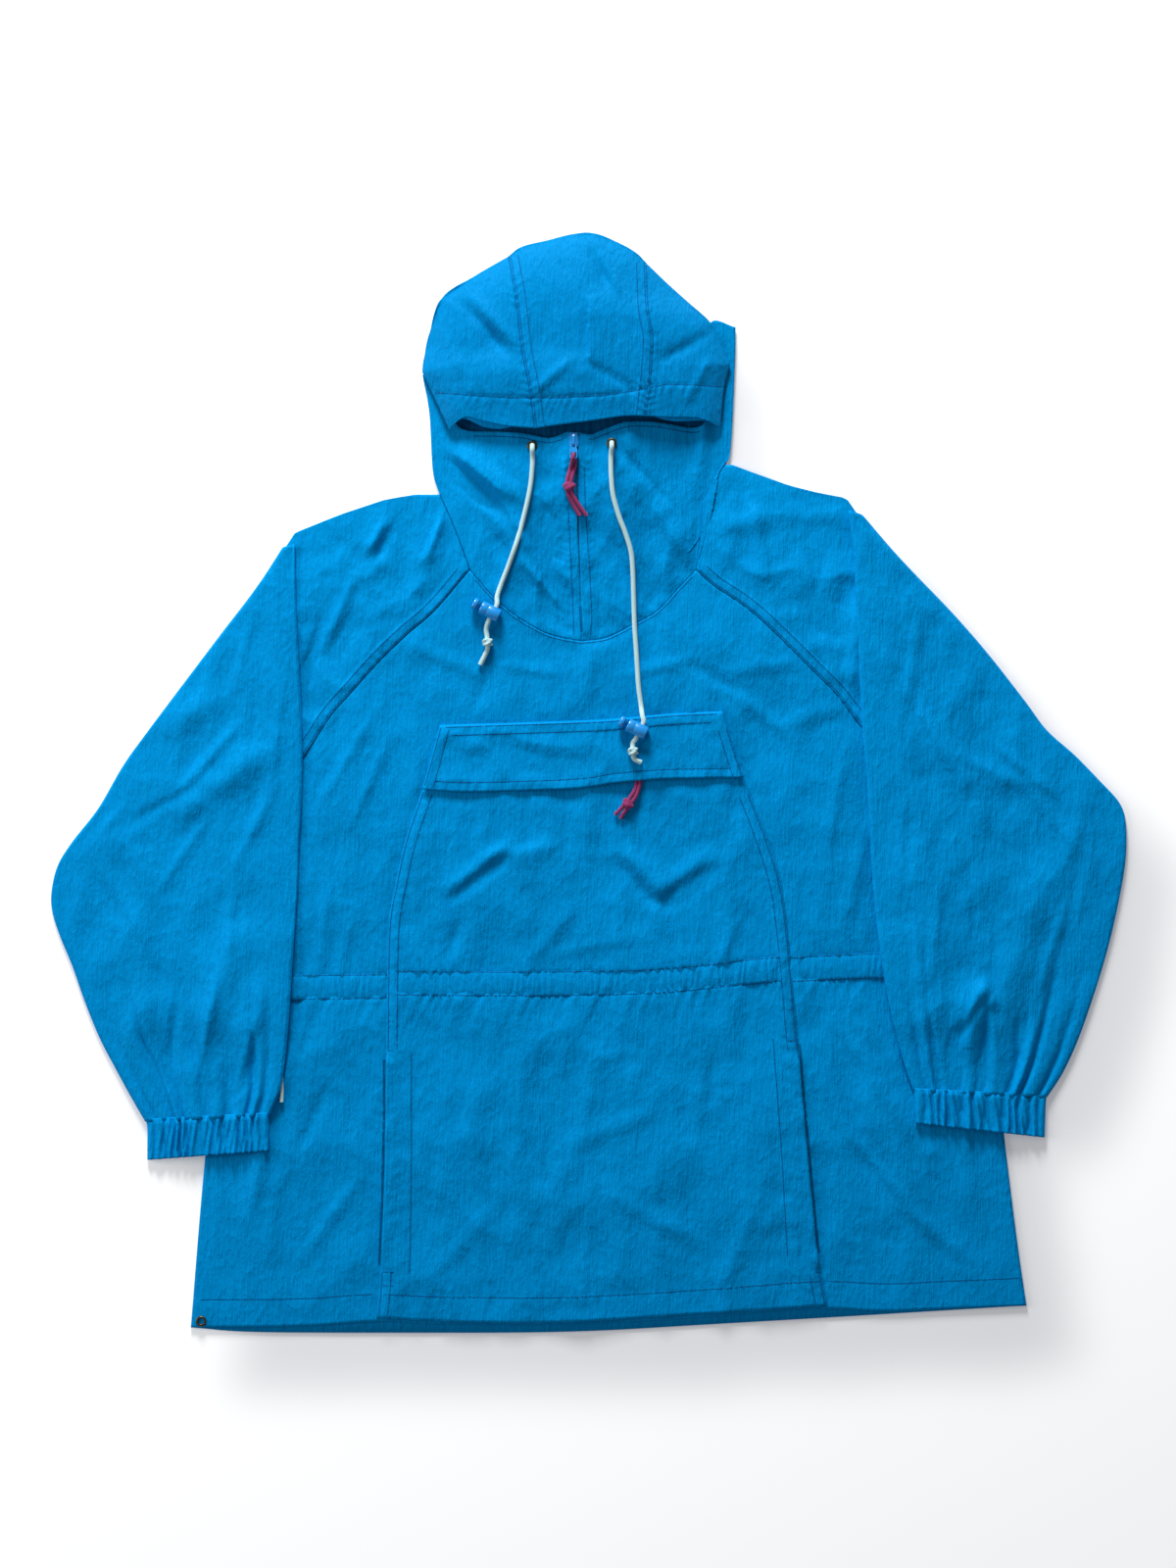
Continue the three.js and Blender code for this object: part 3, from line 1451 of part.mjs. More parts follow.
for (const cord of drawcords) {
  addEyelet(`eyelet_${cord.side}`, cord.eye);
  const turn = THREE.MathUtils.degToRad(cord.lockTurn);
  const lockCentre = laidOut([cord.lockAt], lock.radius, 0.5)[0];
  const through = (distance) => ({
    x: lockCentre.x - Math.sin(turn) * distance + 1.6 * Math.cos(turn),
    y: lockCentre.y + Math.cos(turn) * distance + 1.6 * Math.sin(turn),
    z: lockCentre.z,
  });
  const knotCentre = laidOut([cord.knotAt], cordRadius, 2.9)[0];
  const eyeTop = collarTop(cord.eye.x, cord.eye.y);
  const points = [
    { ...cord.eye, z: eyeTop + 0.8 },
    { ...cord.eye, z: eyeTop + 3.4 },
    { x: cord.eye.x, y: cord.eye.y - 3.4, z: eyeTop + 6.2 },
    ...laidOut(cord.path, cordRadius),
    through(8),
    through(0),
    through(-8),
    ...laidOut(cord.tail, cordRadius),
    knotCentre,
    ...laidOut(cord.end, cordRadius),
  ];
  const length = new THREE.CatmullRomCurve3(
    points.map((p) => new THREE.Vector3(p.x, p.y, p.z)),
  ).getLength();
  add(`drawcord_${cord.side}`, cordThrough(points, cordDiameter, Math.round(length / 8)), paleCord);
  const place = { ...lockCentre, turnZ: turn };
  add(`cord_lock_${cord.side}`, geometryOf(lockBarrel()), plasticBlue, place);
  const out = lock.length / 2 + 1 + lock.travel + 0.5;
  add(`lock_button_${cord.side}`, geometryOf(lockButton()), plasticBlue, {
    x: lockCentre.x - out * Math.cos(turn),
    y: lockCentre.y - out * Math.sin(turn),
    z: lockCentre.z,
    turnZ: turn,
  });
  const inner = cordRadius + 0.8;
  const outer = knot.diameter / 2;
  const bead = turned(
    [
      [inner, -knot.length / 2],
      [outer - 0.9, -knot.length / 2],
      [outer, -knot.length / 4],
      [outer, knot.length / 4],
      [outer - 0.9, knot.length / 2],
      [inner, knot.length / 2],
    ],
    12,
  );
  const entry = cord.tail.at(-1);
  const exit = cord.end[0];
  const knotTurn = Math.atan2(exit.y - entry.y, exit.x - entry.x);
  add(`cord_knot_${cord.side}`, geometryOf(bead.rotate([0, 90, 0])), paleCord, {
    ...knotCentre,
    turnZ: knotTurn,
  });
}
addEyelet("eyelet_hem", { x: -336.3, y: -467.4 });

// The waist cord's end, under the sleeve but for its tip
const waistCord = [
  { x: -272, y: -193 },
  { x: -271, y: -215 },
  { x: -268, y: -240 },
  { x: -266, y: -262 },
  { x: -266, y: -277 },
];
const waistPath = laidOut(waistCord, waistCordDiameter / 2, 0.35);
add("waist_cord", cordThrough(waistPath, waistCordDiameter, 16), paleCord);

export default anorak;
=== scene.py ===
import math

import bmesh
import bpy
import numpy as np
from mathutils import Matrix, Vector, noise
from mathutils.bvhtree import BVHTree


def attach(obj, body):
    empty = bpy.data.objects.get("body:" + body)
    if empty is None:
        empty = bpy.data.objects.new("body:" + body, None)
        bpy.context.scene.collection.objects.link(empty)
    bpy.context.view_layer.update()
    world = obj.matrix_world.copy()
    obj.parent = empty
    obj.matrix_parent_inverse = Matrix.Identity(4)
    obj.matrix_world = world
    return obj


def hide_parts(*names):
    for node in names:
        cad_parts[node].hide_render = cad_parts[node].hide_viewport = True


# A nylon anorak pullover laid flat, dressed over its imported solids.
# The tables hold millimetres and every mesh is built in metres.
mm = 0.001
pixel = 0.85  # millimetres for each pixel of the photograph's frame
middle = (600.5, 798.5)  # the garment's middle in those pixels

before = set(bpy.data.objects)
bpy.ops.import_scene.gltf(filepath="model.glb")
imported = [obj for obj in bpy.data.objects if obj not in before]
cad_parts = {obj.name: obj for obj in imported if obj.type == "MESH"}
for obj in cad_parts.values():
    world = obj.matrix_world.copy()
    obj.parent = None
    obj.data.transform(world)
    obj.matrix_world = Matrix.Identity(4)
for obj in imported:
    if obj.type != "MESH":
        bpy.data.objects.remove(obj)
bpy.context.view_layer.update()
print("frame loaded:", len(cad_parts), "nodes")


def outline(*points):
    return np.array(points, float)


# A line traced in the frame's pixels
def px(points):
    return np.array([((x - middle[0]) * pixel, (middle[1] - y) * pixel) for x, y in points])


# Outlines and seams in plan
raglanLeft = outline((-296, -28), (-264, 0), (-243, 29), (-223, 59), (-207, 77), (-182, 105), (-158, 128),
    (-133, 150), (-103, 185))
raglanRight = outline((93, 185), (109, 171), (133, 155), (150, 141), (174, 118), (198, 94), (215, 77),
    (237, 49), (262, 20), (322, -22))
neckLeft = outline((-103, 185), (-83, 162), (-63, 145), (-39, 131), (-23, 126), (-6, 123))
neckRight = outline((-6, 123), (15, 126), (36, 136), (59, 149), (78, 169), (93, 185))
neckUpLeft = outline((-129, 250), (-115, 218), (-103, 185))
neckUpRight = outline((93, 185), (97, 212), (99, 243))
sideLeft = outline((-296, -28), (-315, -160), (-333, -330), (-345, -473))
sideRight = outline((322, -22), (346, -171), (361, -310), (372, -399), (380, -454))
frontHem = outline((-345, -473), (-250, -472), (-184, -468), (-136, -470), (-51, -471), (17, -469),
    (102, -464), (195, -457), (256, -459), (306, -457), (380, -454))
backHem = outline((-345, -473), (-286, -477), (-136, -477.6), (-51, -477.3), (17, -475.4), (102, -470.5),
    (204, -464.6), (280, -460), (380, -454))
shoulderTopLeft = outline((-129, 250), (-150, 248), (-176, 246), (-215, 233), (-255, 217))
shoulderTopRight = outline((99, 243), (117, 277), (138, 271), (174, 258), (198, 252), (224, 247))
shoulderFoldLeft = outline((-255, 217), (-266, 200), (-280, 171), (-286, -5), (-296, -28))
shoulderFoldRight = outline((224, 247), (244, 218), (264, 195), (284, 60), (292, 10), (322, -22))
gussetSeamLeft = outline((-69.5, 456.5), (-63, 419), (-57.5, 373), (-51, 340), (-46.5, 306))
gussetSeamRight = outline((50, 451), (51.5, 410), (55.5, 385), (54, 354), (49.5, 316.5))
crown = outline((-69.5, 456.5), (-57.5, 465), (-35.5, 470.5), (-13, 476), (5, 476.5), (23.5, 469.5),
    (40, 460.5), (50, 451))
crownLeft = outline((-144, 356), (-142, 371), (-137, 393), (-127, 420.5), (-98, 440), (-69.5, 456.5))
crownRight = outline((50, 451), (67.5, 434), (86, 417), (104.5, 400), (112, 387), (122.5, 362.5))
brimSideLeft = outline((-144, 356), (-136.5, 340), (-128, 322), (-120.5, 305.5))
brimSideRight = outline((122.5, 362.5), (117.5, 343), (114, 308))
brimLeft = outline((-120.5, 305.5), (-116.5, 310), (-105.5, 316), (-89, 312), (-70.5, 308), (-46.5, 306))
brimCentre = outline((-46.5, 306), (-24.5, 309), (3, 312.5), (31, 316.5), (49.5, 316.5))
brimRight = outline((49.5, 316.5), (68, 315.5), (95.5, 315), (114, 308))
hoodSideLeft = outline((-144, 354), (-138, 321), (-135, 271), (-129, 250))
hoodSideRight = outline((127.5, 395), (127, 365), (123, 288), (117, 277), (109, 261), (99, 243))
collarTopLeft = outline((-144, 354), (-135, 349), (-120, 320), (-108, 306), (-79, 304), (-55, 302), (-34, 298),
    (-19, 303), (-13, 303))
collarTopRight = outline((-9, 303), (2, 301), (10, 304), (33, 312), (60, 312), (94, 308), (103, 322),
    (104, 362), (106, 399), (127.5, 395))
zipLineLeft = outline((-13, 303), (-10, 231), (-7, 159), (-6, 123))
zipLineRight = outline((-9, 303), (-8, 231), (-6.4, 159), (-6, 123))
pocketTop = outline((-129, 50), (-5, 54), (34, 56.5), (73, 60), (116.5, 62))
pocketLeft = outline((-129, 50), (-144.5, -6), (-158.5, -48), (-168, -90), (-174, -130), (-175.5, -222),
    (-177, -340), (-181, -430), (-184, -464))
pocketRight = outline((116.5, 62), (135, 4), (153.5, -45), (166.5, -87), (173, -131), (181, -219), (190, -320),
    (199, -411), (207, -454))
pocketHem = outline((-184, -464), (-136, -467.5), (-51, -469), (17, -466.5), (102, -461), (207, -454))
flapHem = outline((-144, -6), (-110, -8), (-57, -7), (-5, -4.5), (21, -0.5), (47, 2), (73, 3.5), (134.5, 4.5))
casing = {"height": 22, "sink": 1.75, "endSink": 1.2, "swell": 0.65, "ruche": 1.25, "edgeSink": 0.5}

# Sleeve sections: outer x, outer y, inner x, inner y
sleeveLeft = outline((-265.5, 204, -254.4, 207), (-287, 171, -254, 171), (-317, 132, -252.4, 132),
    (-349.5, 89, -250.2, 89),
    (-382.5, 45, -248.3, 45), (-404, 15, -248, 15), (-425.5, -22, -249.2, -22), (-448, -51, -251, -51),
    (-460.5, -71, -251.6, -71), (-466, -92, -252.2, -92), (-466, -110, -253.4, -110),
    (-459.5, -132, -254.7, -132), (-448, -160, -256.5, -160), (-437.5, -190, -258.4, -190),
    (-424.5, -222, -260.6, -220), (-411.5, -247, -263, -243), (-398.5, -271, -267, -266),
    (-385, -294.5, -276, -288.5))
sleeveRight = outline((238, 232, 225.4, 236), (270, 195, 230, 195), (313.5, 150, 232, 150),
    (346, 113, 234, 113),
    (378.5, 71.5, 236, 71.5), (398, 45.5, 237.4, 45.5), (422, 24, 239.2, 24), (443.5, 2, 241.2, 2),
    (461, -17.5, 242.4, -17.5), (466.5, -35, 243.4, -35), (466.5, -66, 245, -66), (460.5, -103, 247.6, -103),
    (450.5, -146, 252.5, -146), (437, -190, 259.5, -188), (424.5, -225, 267, -220), (412, -252, 274.5, -247),
    (398.5, -273, 281.5, -267.5))
cuffLeft = outline((-384.5, -291.7, -277, -285.6), (-383, -301, -277, -295), (-383, -314, -276.5, -307),
    (-383, -327.5, -276.5, -319))
cuffRight = outline((398, -270.4, 282, -264.8), (397, -280, 282.5, -274), (396.5, -294, 283, -284),
    (396, -308, 283.5, -295))

# Folds: x, y, angle from +X in degrees, length, width, height
bodyFolds = [(-262, -305, 68, 230, 30, 2.2), (-215, -260, 62, 160, 26, -1.2), (-62, -335, -56, 190, 32, 2),
    (48, -345, 32, 170, 32, 1.8), (140, -330, 74, 180, 30, 1.8), (262, -300, -52, 220, 30, 2.2),
    (40, -95, -35, 150, 34, -1.6), (-75, -85, 35, 150, 34, 1.8), (185, 45, 22, 170, 30, -1.6),
    (120, 110, 8, 150, 28, 1.4), (-150, 85, -12, 150, 30, -1.4), (-215, -60, 80, 190, 30, 1.4)]
shoulderCreases = [(-139, 222, 76, 62, 3.6, -2.4), (-133, 214, 70, 60, 3.2, 1.6), (-137, 232, 80, 40, 5, -2.6),
    (-184, 214, 63, 46, 4, 1.8), (-176, 208, 63, 46, 3.4, -1.5),
    (-215, 150, 66, 90, 5, 1.2), (-240, 110, 74, 110, 5, -1.2), (148, 214, 104, 90, 5, 1.4),
    (200, 178, 98, 110, 5, -1.3), (232, 120, 84, 110, 6, 1.3)]
shoulderFolds = [(-140, 212, 72, 70, 10, 3), (-182, 222, 66, 60, 12, 2), (160, 205, 100, 120, 14, 2.2),
    (205, 190, 96, 110, 14, 1.6)]
collarCreases = [(-96, 268, -40, 86, 4.5, 2.4), (-104, 258, -42, 80, 5, -2.2), (-62, 222, -62, 90, 4, 1.6),
    (-30, 214, -72, 90, 4, -1.4),
    (-38, 170, -50, 70, 4, 1.3), (-20, 262, -84, 60, 4, 1), (18, 240, -76, 80, 4, 1.2),
    (28, 190, -66, 80, 4, -1.2),
    (52, 262, -48, 80, 4, -1.6), (74, 214, -58, 90, 5, 1.8), (100, 300, 82, 100, 5, 1.8),
    (112, 330, 84, 90, 5, -1.4)]
collarFolds = [(-90, 270, -40, 100, 9, 8.5), (-100, 254, -42, 96, 8, -4.5), (-66, 210, -58, 110, 10, 4.6),
    (-84, 216, -60, 80, 8, -2), (-38, 186, -54, 100, 10, -2.6),
    (60, 235, -50, 100, 12, 3.6), (76, 205, 62, 90, 10, 3), (88, 250, 70, 60, 10, 2.6)]
hoodCreases = [(-94, 398, -50, 90, 4.5, -2), (-84, 402, -50, 90, 5, 1.6), (-118, 372, -70, 60, 4, 1.3),
    (8, 448, -64, 60, 4, -1.5),
    (18, 444, -64, 60, 4, 1.1), (90, 380, 30, 80, 5, -1.5), (96, 350, 60, 60, 4, 1.3),
    (-30, 352, 40, 60, 5, 1), (20, 350, -30, 70, 5, -1)]
hoodFolds = [(-98, 392, -42, 90, 14, -4), (-112, 398, -42, 70, 12, 2.5), (12, 450, -62, 60, 14, -2),
    (84, 372, 35, 80, 16, -2.5), (0, 385, 88, 110, 22, 2)]
sleeveFolds = [(-315, 0, 42, 140, 15, 3), (-335, -30, 38, 100, 12, -1.5), (-345, 62, 25, 90, 14, 2),
    (-315, -170, 72, 150, 15, 2.6), (-385, -175, -75, 160, 20, 1.8), (-290, -205, 70, 110, 12, 2.2),
    (320, 10, -62, 150, 16, 2.6), (350, -18, -14, 80, 13, -1.6), (290, -110, -70, 170, 15, 2.8),
    (375, -140, 76, 150, 18, 2.2), (330, -205, 86, 90, 13, 2.6)]
# Sharper creases over the broad folds, as the nylon keeps them
bodyCreases = [(268, -330, -66, 190, 9, 1.4), (300, -350, -58, 150, 8, -1.1), (236, -300, -70, 160, 7, -0.9),
    (-290, -345, 78, 170, 9, 1.2), (-262, -380, 84, 130, 7, -0.9),
    (278, -262, -62, 120, 5, 1.3), (286, -268, -62, 110, 5, -1.1), (248, -330, -50, 130, 5, 1),
    (330, -330, -84, 110, 6, 1),
    (-322, -360, 86, 120, 5, 0.9), (-285, -330, 80, 130, 6, 1.1), (-238, -290, 66, 90, 5, -0.9),
    (-300, -230, 74, 70, 5, 1.1), (-214, -160, 80, 130, 5, 0.8),
    (-190, 0, 66, 100, 5, 0.9), (150, 60, -40, 90, 6, 1), (110, 90, -30, 90, 5, -0.8), (0, 92, 84, 60, 5, 0.7),
    (-90, 84, 62, 80, 5, -0.8), (214, -20, 80, 120, 5, 0.9),
    (-262, -250, 72, 130, 5, 1.1), (-225, -380, 55, 120, 6, 1), (250, -260, -58, 150, 6, 1.2),
    (300, -390, -40, 110, 6, 1), (-210, 20, 60, 120, 5, 1), (200, 60, 18, 110, 6, 0.9),
    (150, 100, 10, 100, 6, 0.8),
    (-120, 105, -22, 100, 6, 0.8), (-50, 98, -8, 70, 5, 0.7), (60, 100, 14, 80, 5, 0.8),
    (232, -80, 78, 120, 6, 1),
    (-230, -130, 84, 100, 5, 0.9)]
pocketCreases = [(-94, -72, 38, 100, 6, 1.9), (-94, -82, 38, 84, 6, -1.4), (-50, -62, 20, 60, 8, 1.1),
    (46, -76, -50, 66, 8, 1.9), (38, -84, -50, 62, 7, -1.7),
    (82, -80, 35, 84, 9, 2.0), (86, -91, 35, 70, 7, -1.7), (62, -103, -10, 30, 7, -1.2),
    (60, -118, -70, 40, 5, 0.9), (-30, -130, 50, 90, 6, 0.8), (120, -140, 64, 70, 5, 1),
    (-118, -140, 70, 60, 5, -0.9), (-60, -60, 10, 90, 5, 0.7), (10, -140, 12, 110, 6, 0.7),
    (-98, -322, -72, 90, 6, 1.3), (-46, -330, -63, 80, 6, -1.1), (107, -262, 90, 55, 6, -1.2),
    (20, -300, 20, 110, 7, 0.9),
    (60, -380, -28, 120, 7, 1), (-110, -400, 48, 110, 7, 0.9), (130, -400, 66, 100, 7, 1),
    (-20, -230, 78, 90, 6, 0.7)]
sleeveCreases = [(-300, 110, 76, 110, 5, 1), (-270, 40, 84, 120, 4, 0.8), (-350, -60, 56, 120, 5, 1),
    (-420, -40, 50, 90, 5, 0.8), (-310, -120, 84, 120, 5, 1.2),
    (280, 100, 80, 130, 5, 1), (330, 110, -66, 120, 5, 0.9), (380, 10, -40, 110, 5, 1),
    (270, -60, 86, 130, 4, 0.9), (430, -90, 80, 100, 5, 0.9), (300, -130, 84, 120, 5, 1.1),
    (-330, 20, 48, 120, 5, 1.4), (-290, -40, 62, 110, 5, 1.2), (-370, -20, 30, 90, 5, -1.1),
    (-400, -110, -60, 110, 6, 1.2), (-330, -210, 78, 120, 4.5, 1.8), (-360, -220, 84, 100, 4, -1.6),
    (-295, -230, 74, 90, 4, 1.5), (300, 40, -60, 120, 5, 1.3), (350, 10, -25, 100, 6, 1.1),
    (410, -40, -50, 110, 6, 1.1),
    (400, -150, 72, 120, 5, 1.3), (290, -170, -78, 120, 4.5, 1.5), (322, -212, 70, 70, 4, -1.8),
    (334, -192, 60, 60, 6, 2.6), (346, -184, -60, 34, 6, 2.4), (330, -206, 62, 56, 4, -2.2),
    (350, -215, 95, 90, 4.5, 1.6), (372, -225, 88, 60, 4, -1.4)]


def smooth(x, low, high):
    t = np.clip((x - low) / (high - low), 0, 1)
    return t * t * (3 - 2 * t)


def spline(points, perSpan=24):
    p = np.vstack([2 * points[0] - points[1], points, 2 * points[-1] - points[-2]])
    t = np.linspace(0, 1, perSpan, endpoint=False)[:, None]
    runs = []
    for i in range(1, len(p) - 2):
        a, b, c, d = p[i - 1], p[i], p[i + 1], p[i + 2]
        runs.append(0.5 * (2 * b + (c - a) * t + (2 * a - 5 * b + 4 * c - d) * t**2
            + (3 * b - a - 3 * c + d) * t**3))
    return np.vstack(runs + [p[-2:-1]])


def resample(line, count):
    gone = np.concatenate([[0], np.cumsum(np.linalg.norm(np.diff(line, axis=0), axis=1))])
    at = np.linspace(0, gone[-1], count)
    return np.stack([np.interp(at, gone, line[:, k]) for k in range(line.shape[1])], axis=1)


def evenly(points, count):
    return resample(spline(points), count)


def joinedLine(*tables):
    lines = [spline(t) for t in tables]
    return np.vstack([lines[0]] + [line[1:] for line in lines[1:]])


def patch(top, bottom, left, right, inset=-0.25):
    u = np.linspace(0, 1, len(top))[None, :, None]
    v = np.linspace(0, 1, len(left))[:, None, None]
    along = top[None] * (1 - v) + bottom[None] * v
    across = left[:, None] * (1 - u) + right[:, None] * u
    corners = (top[0] * (1 - u) + top[-1] * u) * (1 - v) + (bottom[0] * (1 - u) + bottom[-1] * u) * v
    grid = along + across - corners
    centre = grid.reshape(-1, 2).mean(axis=0)
    size = np.ptp(grid.reshape(-1, 2), axis=0)
    return centre + (grid - centre) * (1 - 2 * inset / size)


def nearest(lines, x, y):
    best = np.full(x.shape, 1e9)
    along = np.zeros(x.shape)
    for line in lines:
        gone = 0.0
        for a, b in zip(line[:-1], line[1:]):
            run = b - a
            length = np.hypot(*run)
            if length < 1e-6:
                continue
            t = np.clip(((x - a[0]) * run[0] + (y - a[1]) * run[1]) / length**2, 0, 1)
            d = np.hypot(x - a[0] - t * run[0], y - a[1] - t * run[1])
            closer = d < best
            best = np.where(closer, d, best)
            along = np.where(closer, gone + t * length, along)
            gone += length
    return best, along


# What the cloth does: millimetres, and weights of each kind of wrinkle
cloth = {"thickness": 0.7, "wallCad": 1.2, "layGap": 0.8, "puff": 2.2, "puffReach": 35, "neckRise": 11,
    "twinRow": 8.6, "leastFill": 0.31}
wrinkles = {"broad": 2.2, "fine": 1.3, "streak": 0.45, "crisp": 0.7, "pucker": 0.8, "gather": 4.4,
    "hoodFine": 0.5}


def relief(folds, x, y):
    height = np.zeros(np.shape(x))
    for fx, fy, angle, length, width, fold in folds:
        turn = math.radians(angle)
        along = (x - fx) * math.cos(turn) + (y - fy) * math.sin(turn)
        across = (y - fy) * math.cos(turn) - (x - fx) * math.sin(turn)
        height += fold * (1 - smooth(np.abs(along) / (length / 2), 0.3, 1)) * np.exp(-((across / width) ** 2))
    return height


def crumple(x, y, size, seed, stretch=1.0):
    flat = [noise.noise((a / size, b / (size * stretch), seed)) for a, b in zip(np.ravel(x), np.ravel(y))]
    return np.reshape(flat, np.shape(x))


def creased(x, y, size, seed, stretch=1.0):
    return 0.5 - 2 * np.abs(crumple(x, y, size, seed, stretch))


def crisp(x, y, seed):
    return wrinkles["crisp"] * (creased(x, y, 30, seed, 1.3) * 1.1
        + creased(y * 0.8, x * 0.8, 17, seed + 5, 1.4) * 0.5)


def streaks(x, y, seed):
    return wrinkles["streak"] * (crumple(x, y, 7, seed, 7) * 0.9 + crumple(x, y, 15, seed + 3, 4) * 1.3)


# The allowance of a felled seam stands between the seam and its second row of stitches
def felled(x, y, lines, width=cloth["twinRow"], height=0.55):
    return height * (1 - smooth(nearest(lines, x, y)[0], width, width + 2.4))


def pucker(x, y, lines, reach, pitch, height):
    d, s = nearest(lines, x, y)
    s = s + 0.45 * d
    wave = np.sin(2 * np.pi * s / pitch + 3 * np.sin(s / (pitch * 1.9)) + 2.2 * np.sin(s / (pitch * 0.77) + 1))
    wave = wave * (0.3 + 0.7 * np.abs(np.sin(s / (pitch * 3.1))))
    return height * np.exp(-d / (0.75 * reach)) * wave - 0.4 * height * np.exp(-((d / 1.8) ** 2))


frontEdgeTop = 1.2 + 0.3 + 1.2
pocketLift = cloth["layGap"] + cloth["wallCad"]
bodyOutline = [shoulderTopLeft, shoulderFoldLeft, sideLeft, frontHem, sideRight, shoulderFoldRight,
    shoulderTopRight, hoodSideLeft, hoodSideRight]
hoodOutline = [crownLeft, crown, crownRight, brimSideLeft, brimSideRight]
bodySeams = [spline(raglanLeft, 8), spline(raglanRight, 8), joinedLine(neckLeft, neckRight)[::4]]
pocketEdges = [spline(pocketLeft, 6), spline(pocketRight, 6), spline(pocketTop, 6)]
sleeveEdges = [sleeveLeft[3:, 2:], sleeveRight[3:, 2:]]
hemLine = [spline(frontHem, 4) + np.array([0, 26.0])]


def bodyBase(x, y):
    inside = 1 - np.exp(-nearest(bodyOutline, x, y)[0] / cloth["puffReach"])
    out = np.hypot((x + 8) / 125, (y - 303) / 180)
    rise = cloth["neckRise"] * (1 - smooth(out, 0.1, 1))
    folds = relief(bodyFolds + shoulderFolds, x, y)
    return frontEdgeTop + cloth["puff"] * inside + rise + np.maximum(folds * inside, -1.4), inside


def insidePocket(x, y):
    left = np.interp(-y, -spline(pocketLeft)[:, 1], spline(pocketLeft)[:, 0])
    right = np.interp(-y, -spline(pocketRight)[:, 1], spline(pocketRight)[:, 0])
    return smooth(x, left - 10, left + 14) * (1 - smooth(x, right - 14, right + 10)) * (1 - smooth(y, 46, 66))


def underCasing(x, y):
    band = np.zeros(np.shape(x))
    for table in (casingLeft, casingCentre, casingRight):
        top = np.interp(x, table[:, 0], table[:, 1])
        along = smooth(x, table[0, 0], table[0, 0] + 4) * (1 - smooth(x, table[-1, 0] - 4, table[-1, 0]))
        foot = 1 - smooth(top - y, casing["height"] - 4, casing["height"] - 1)
        band = np.maximum(band, along * smooth(top - y, 1, 4) * foot)
    return band


def frontHeight(x, y):
    base, inside = bodyBase(x, y)
    detail = wrinkles["broad"] * relief(bodyCreases, x, y)
    detail = (
        detail + wrinkles["fine"] * (creased(x, y, 70, 3, 1.5) * 1.8 + crumple(x, y, 24, 9, 1.6))
        + streaks(x, y, 12) + crisp(x, y, 13))
    detail = detail * smooth(nearest(bodySeams, x, y)[0], 0, 10)
    detail = detail + pucker(x, y, bodySeams, 9, 13, 0.6 * wrinkles["pucker"])
    detail = detail + pucker(x, y, hemLine, 13, 11, 0.7 * wrinkles["pucker"])
    detail = detail + pucker(x, y, pocketEdges, 12, 15, 0.7 * wrinkles["pucker"])
    detail = detail + pucker(x, y, sideCasings, 20, 11, 1.8 * wrinkles["pucker"])
    hidden = insidePocket(x, y)
    detail = detail * smooth(np.hypot(x + 90, y - 150), 12, 26)
    detail = detail - 0.9 * underCasing(x, y) - 1.7 * np.exp(-((nearest(sleeveEdges, x, y)[0] / 10) ** 2))
    return base + np.maximum(detail * inside, -1.6) * (1 - 0.85 * hidden) - 0.5 * hidden


def shoulderHeight(x, y):
    base, inside = bodyBase(x, y)
    detail = (
        wrinkles["fine"] * (creased(x, y, 46, 13) * 2 + crumple(x, y, 18, 4)) + streaks(x, y, 25)
        + crisp(x, y, 26))
    detail = detail + wrinkles["broad"] * relief(shoulderCreases, x, y)
    seams = [*bodySeams, spline(neckUpLeft, 6), spline(neckUpRight, 6)]
    detail = np.maximum(detail, -1.7) * smooth(nearest(seams, x, y)[0], 0, 10)
    detail = detail + pucker(x, y, bodySeams, 9, 13, 0.6 * wrinkles["pucker"]) + felled(x, y, bodySeams[:2])
    return base + detail * np.clip(inside * 1.6, 0, 1)


placketLeft = px([(579.7, 515.7), (582.5, 573), (584.4, 611.3), (585.4, 647.7)])
placketRight = px([(596, 477.4), (597.8, 527), (601.7, 582.6), (603.6, 630.5), (602.6, 647.7)])


def collarHeight(x, y):
    base, inside = bodyBase(x, y)
    folds = np.maximum(relief(collarFolds, x, y), -2.6)
    detail = (
        wrinkles["fine"] * (creased(x, y, 34, 21, 1.8) * 2 + crumple(x, y, 13, 6, 1.6)) + streaks(x, y, 33)
        + crisp(x, y, 34))
    detail = detail + wrinkles["broad"] * relief(collarCreases, x, y)
    neckSeams = [bodySeams[2], spline(neckUpLeft, 6), spline(neckUpRight, 6)]
    detail = np.maximum(detail + folds, -2.2) * smooth(nearest(neckSeams, x, y)[0], 0, 10)
    zipLines = [spline(zipLineLeft, 6) + np.array([-9.0, 0]), spline(zipLineRight, 6) + np.array([8.0, 0])]
    detail = detail + pucker(x, y, zipLines, 5, 8, 0.4 * wrinkles["pucker"])
    besideZip = [spline(placketLeft, 8), spline(placketRight, 8)]
    detail = (
        detail + 0.5 * (1 - smooth(nearest(besideZip, x, y)[0], 0, 3))
        - 0.5 * np.exp(-((nearest(besideZip, x, y)[0] / 1.2) ** 2)))
    detail = detail + pucker(x, y, bodySeams[2:], 9, 13, 0.6 * wrinkles["pucker"])
    return base + detail * inside


brimStitch = px([(443.9, 401), (480, 405), (528.4, 407.8), (570, 407.5), (615, 405.6), (650, 400),
    (680, 393.7), (736.6, 394.8)])


hood = {"edge": 3, "overSide": 3.6, "crown": 20, "reach": 28, "brimDrop": 2.5}


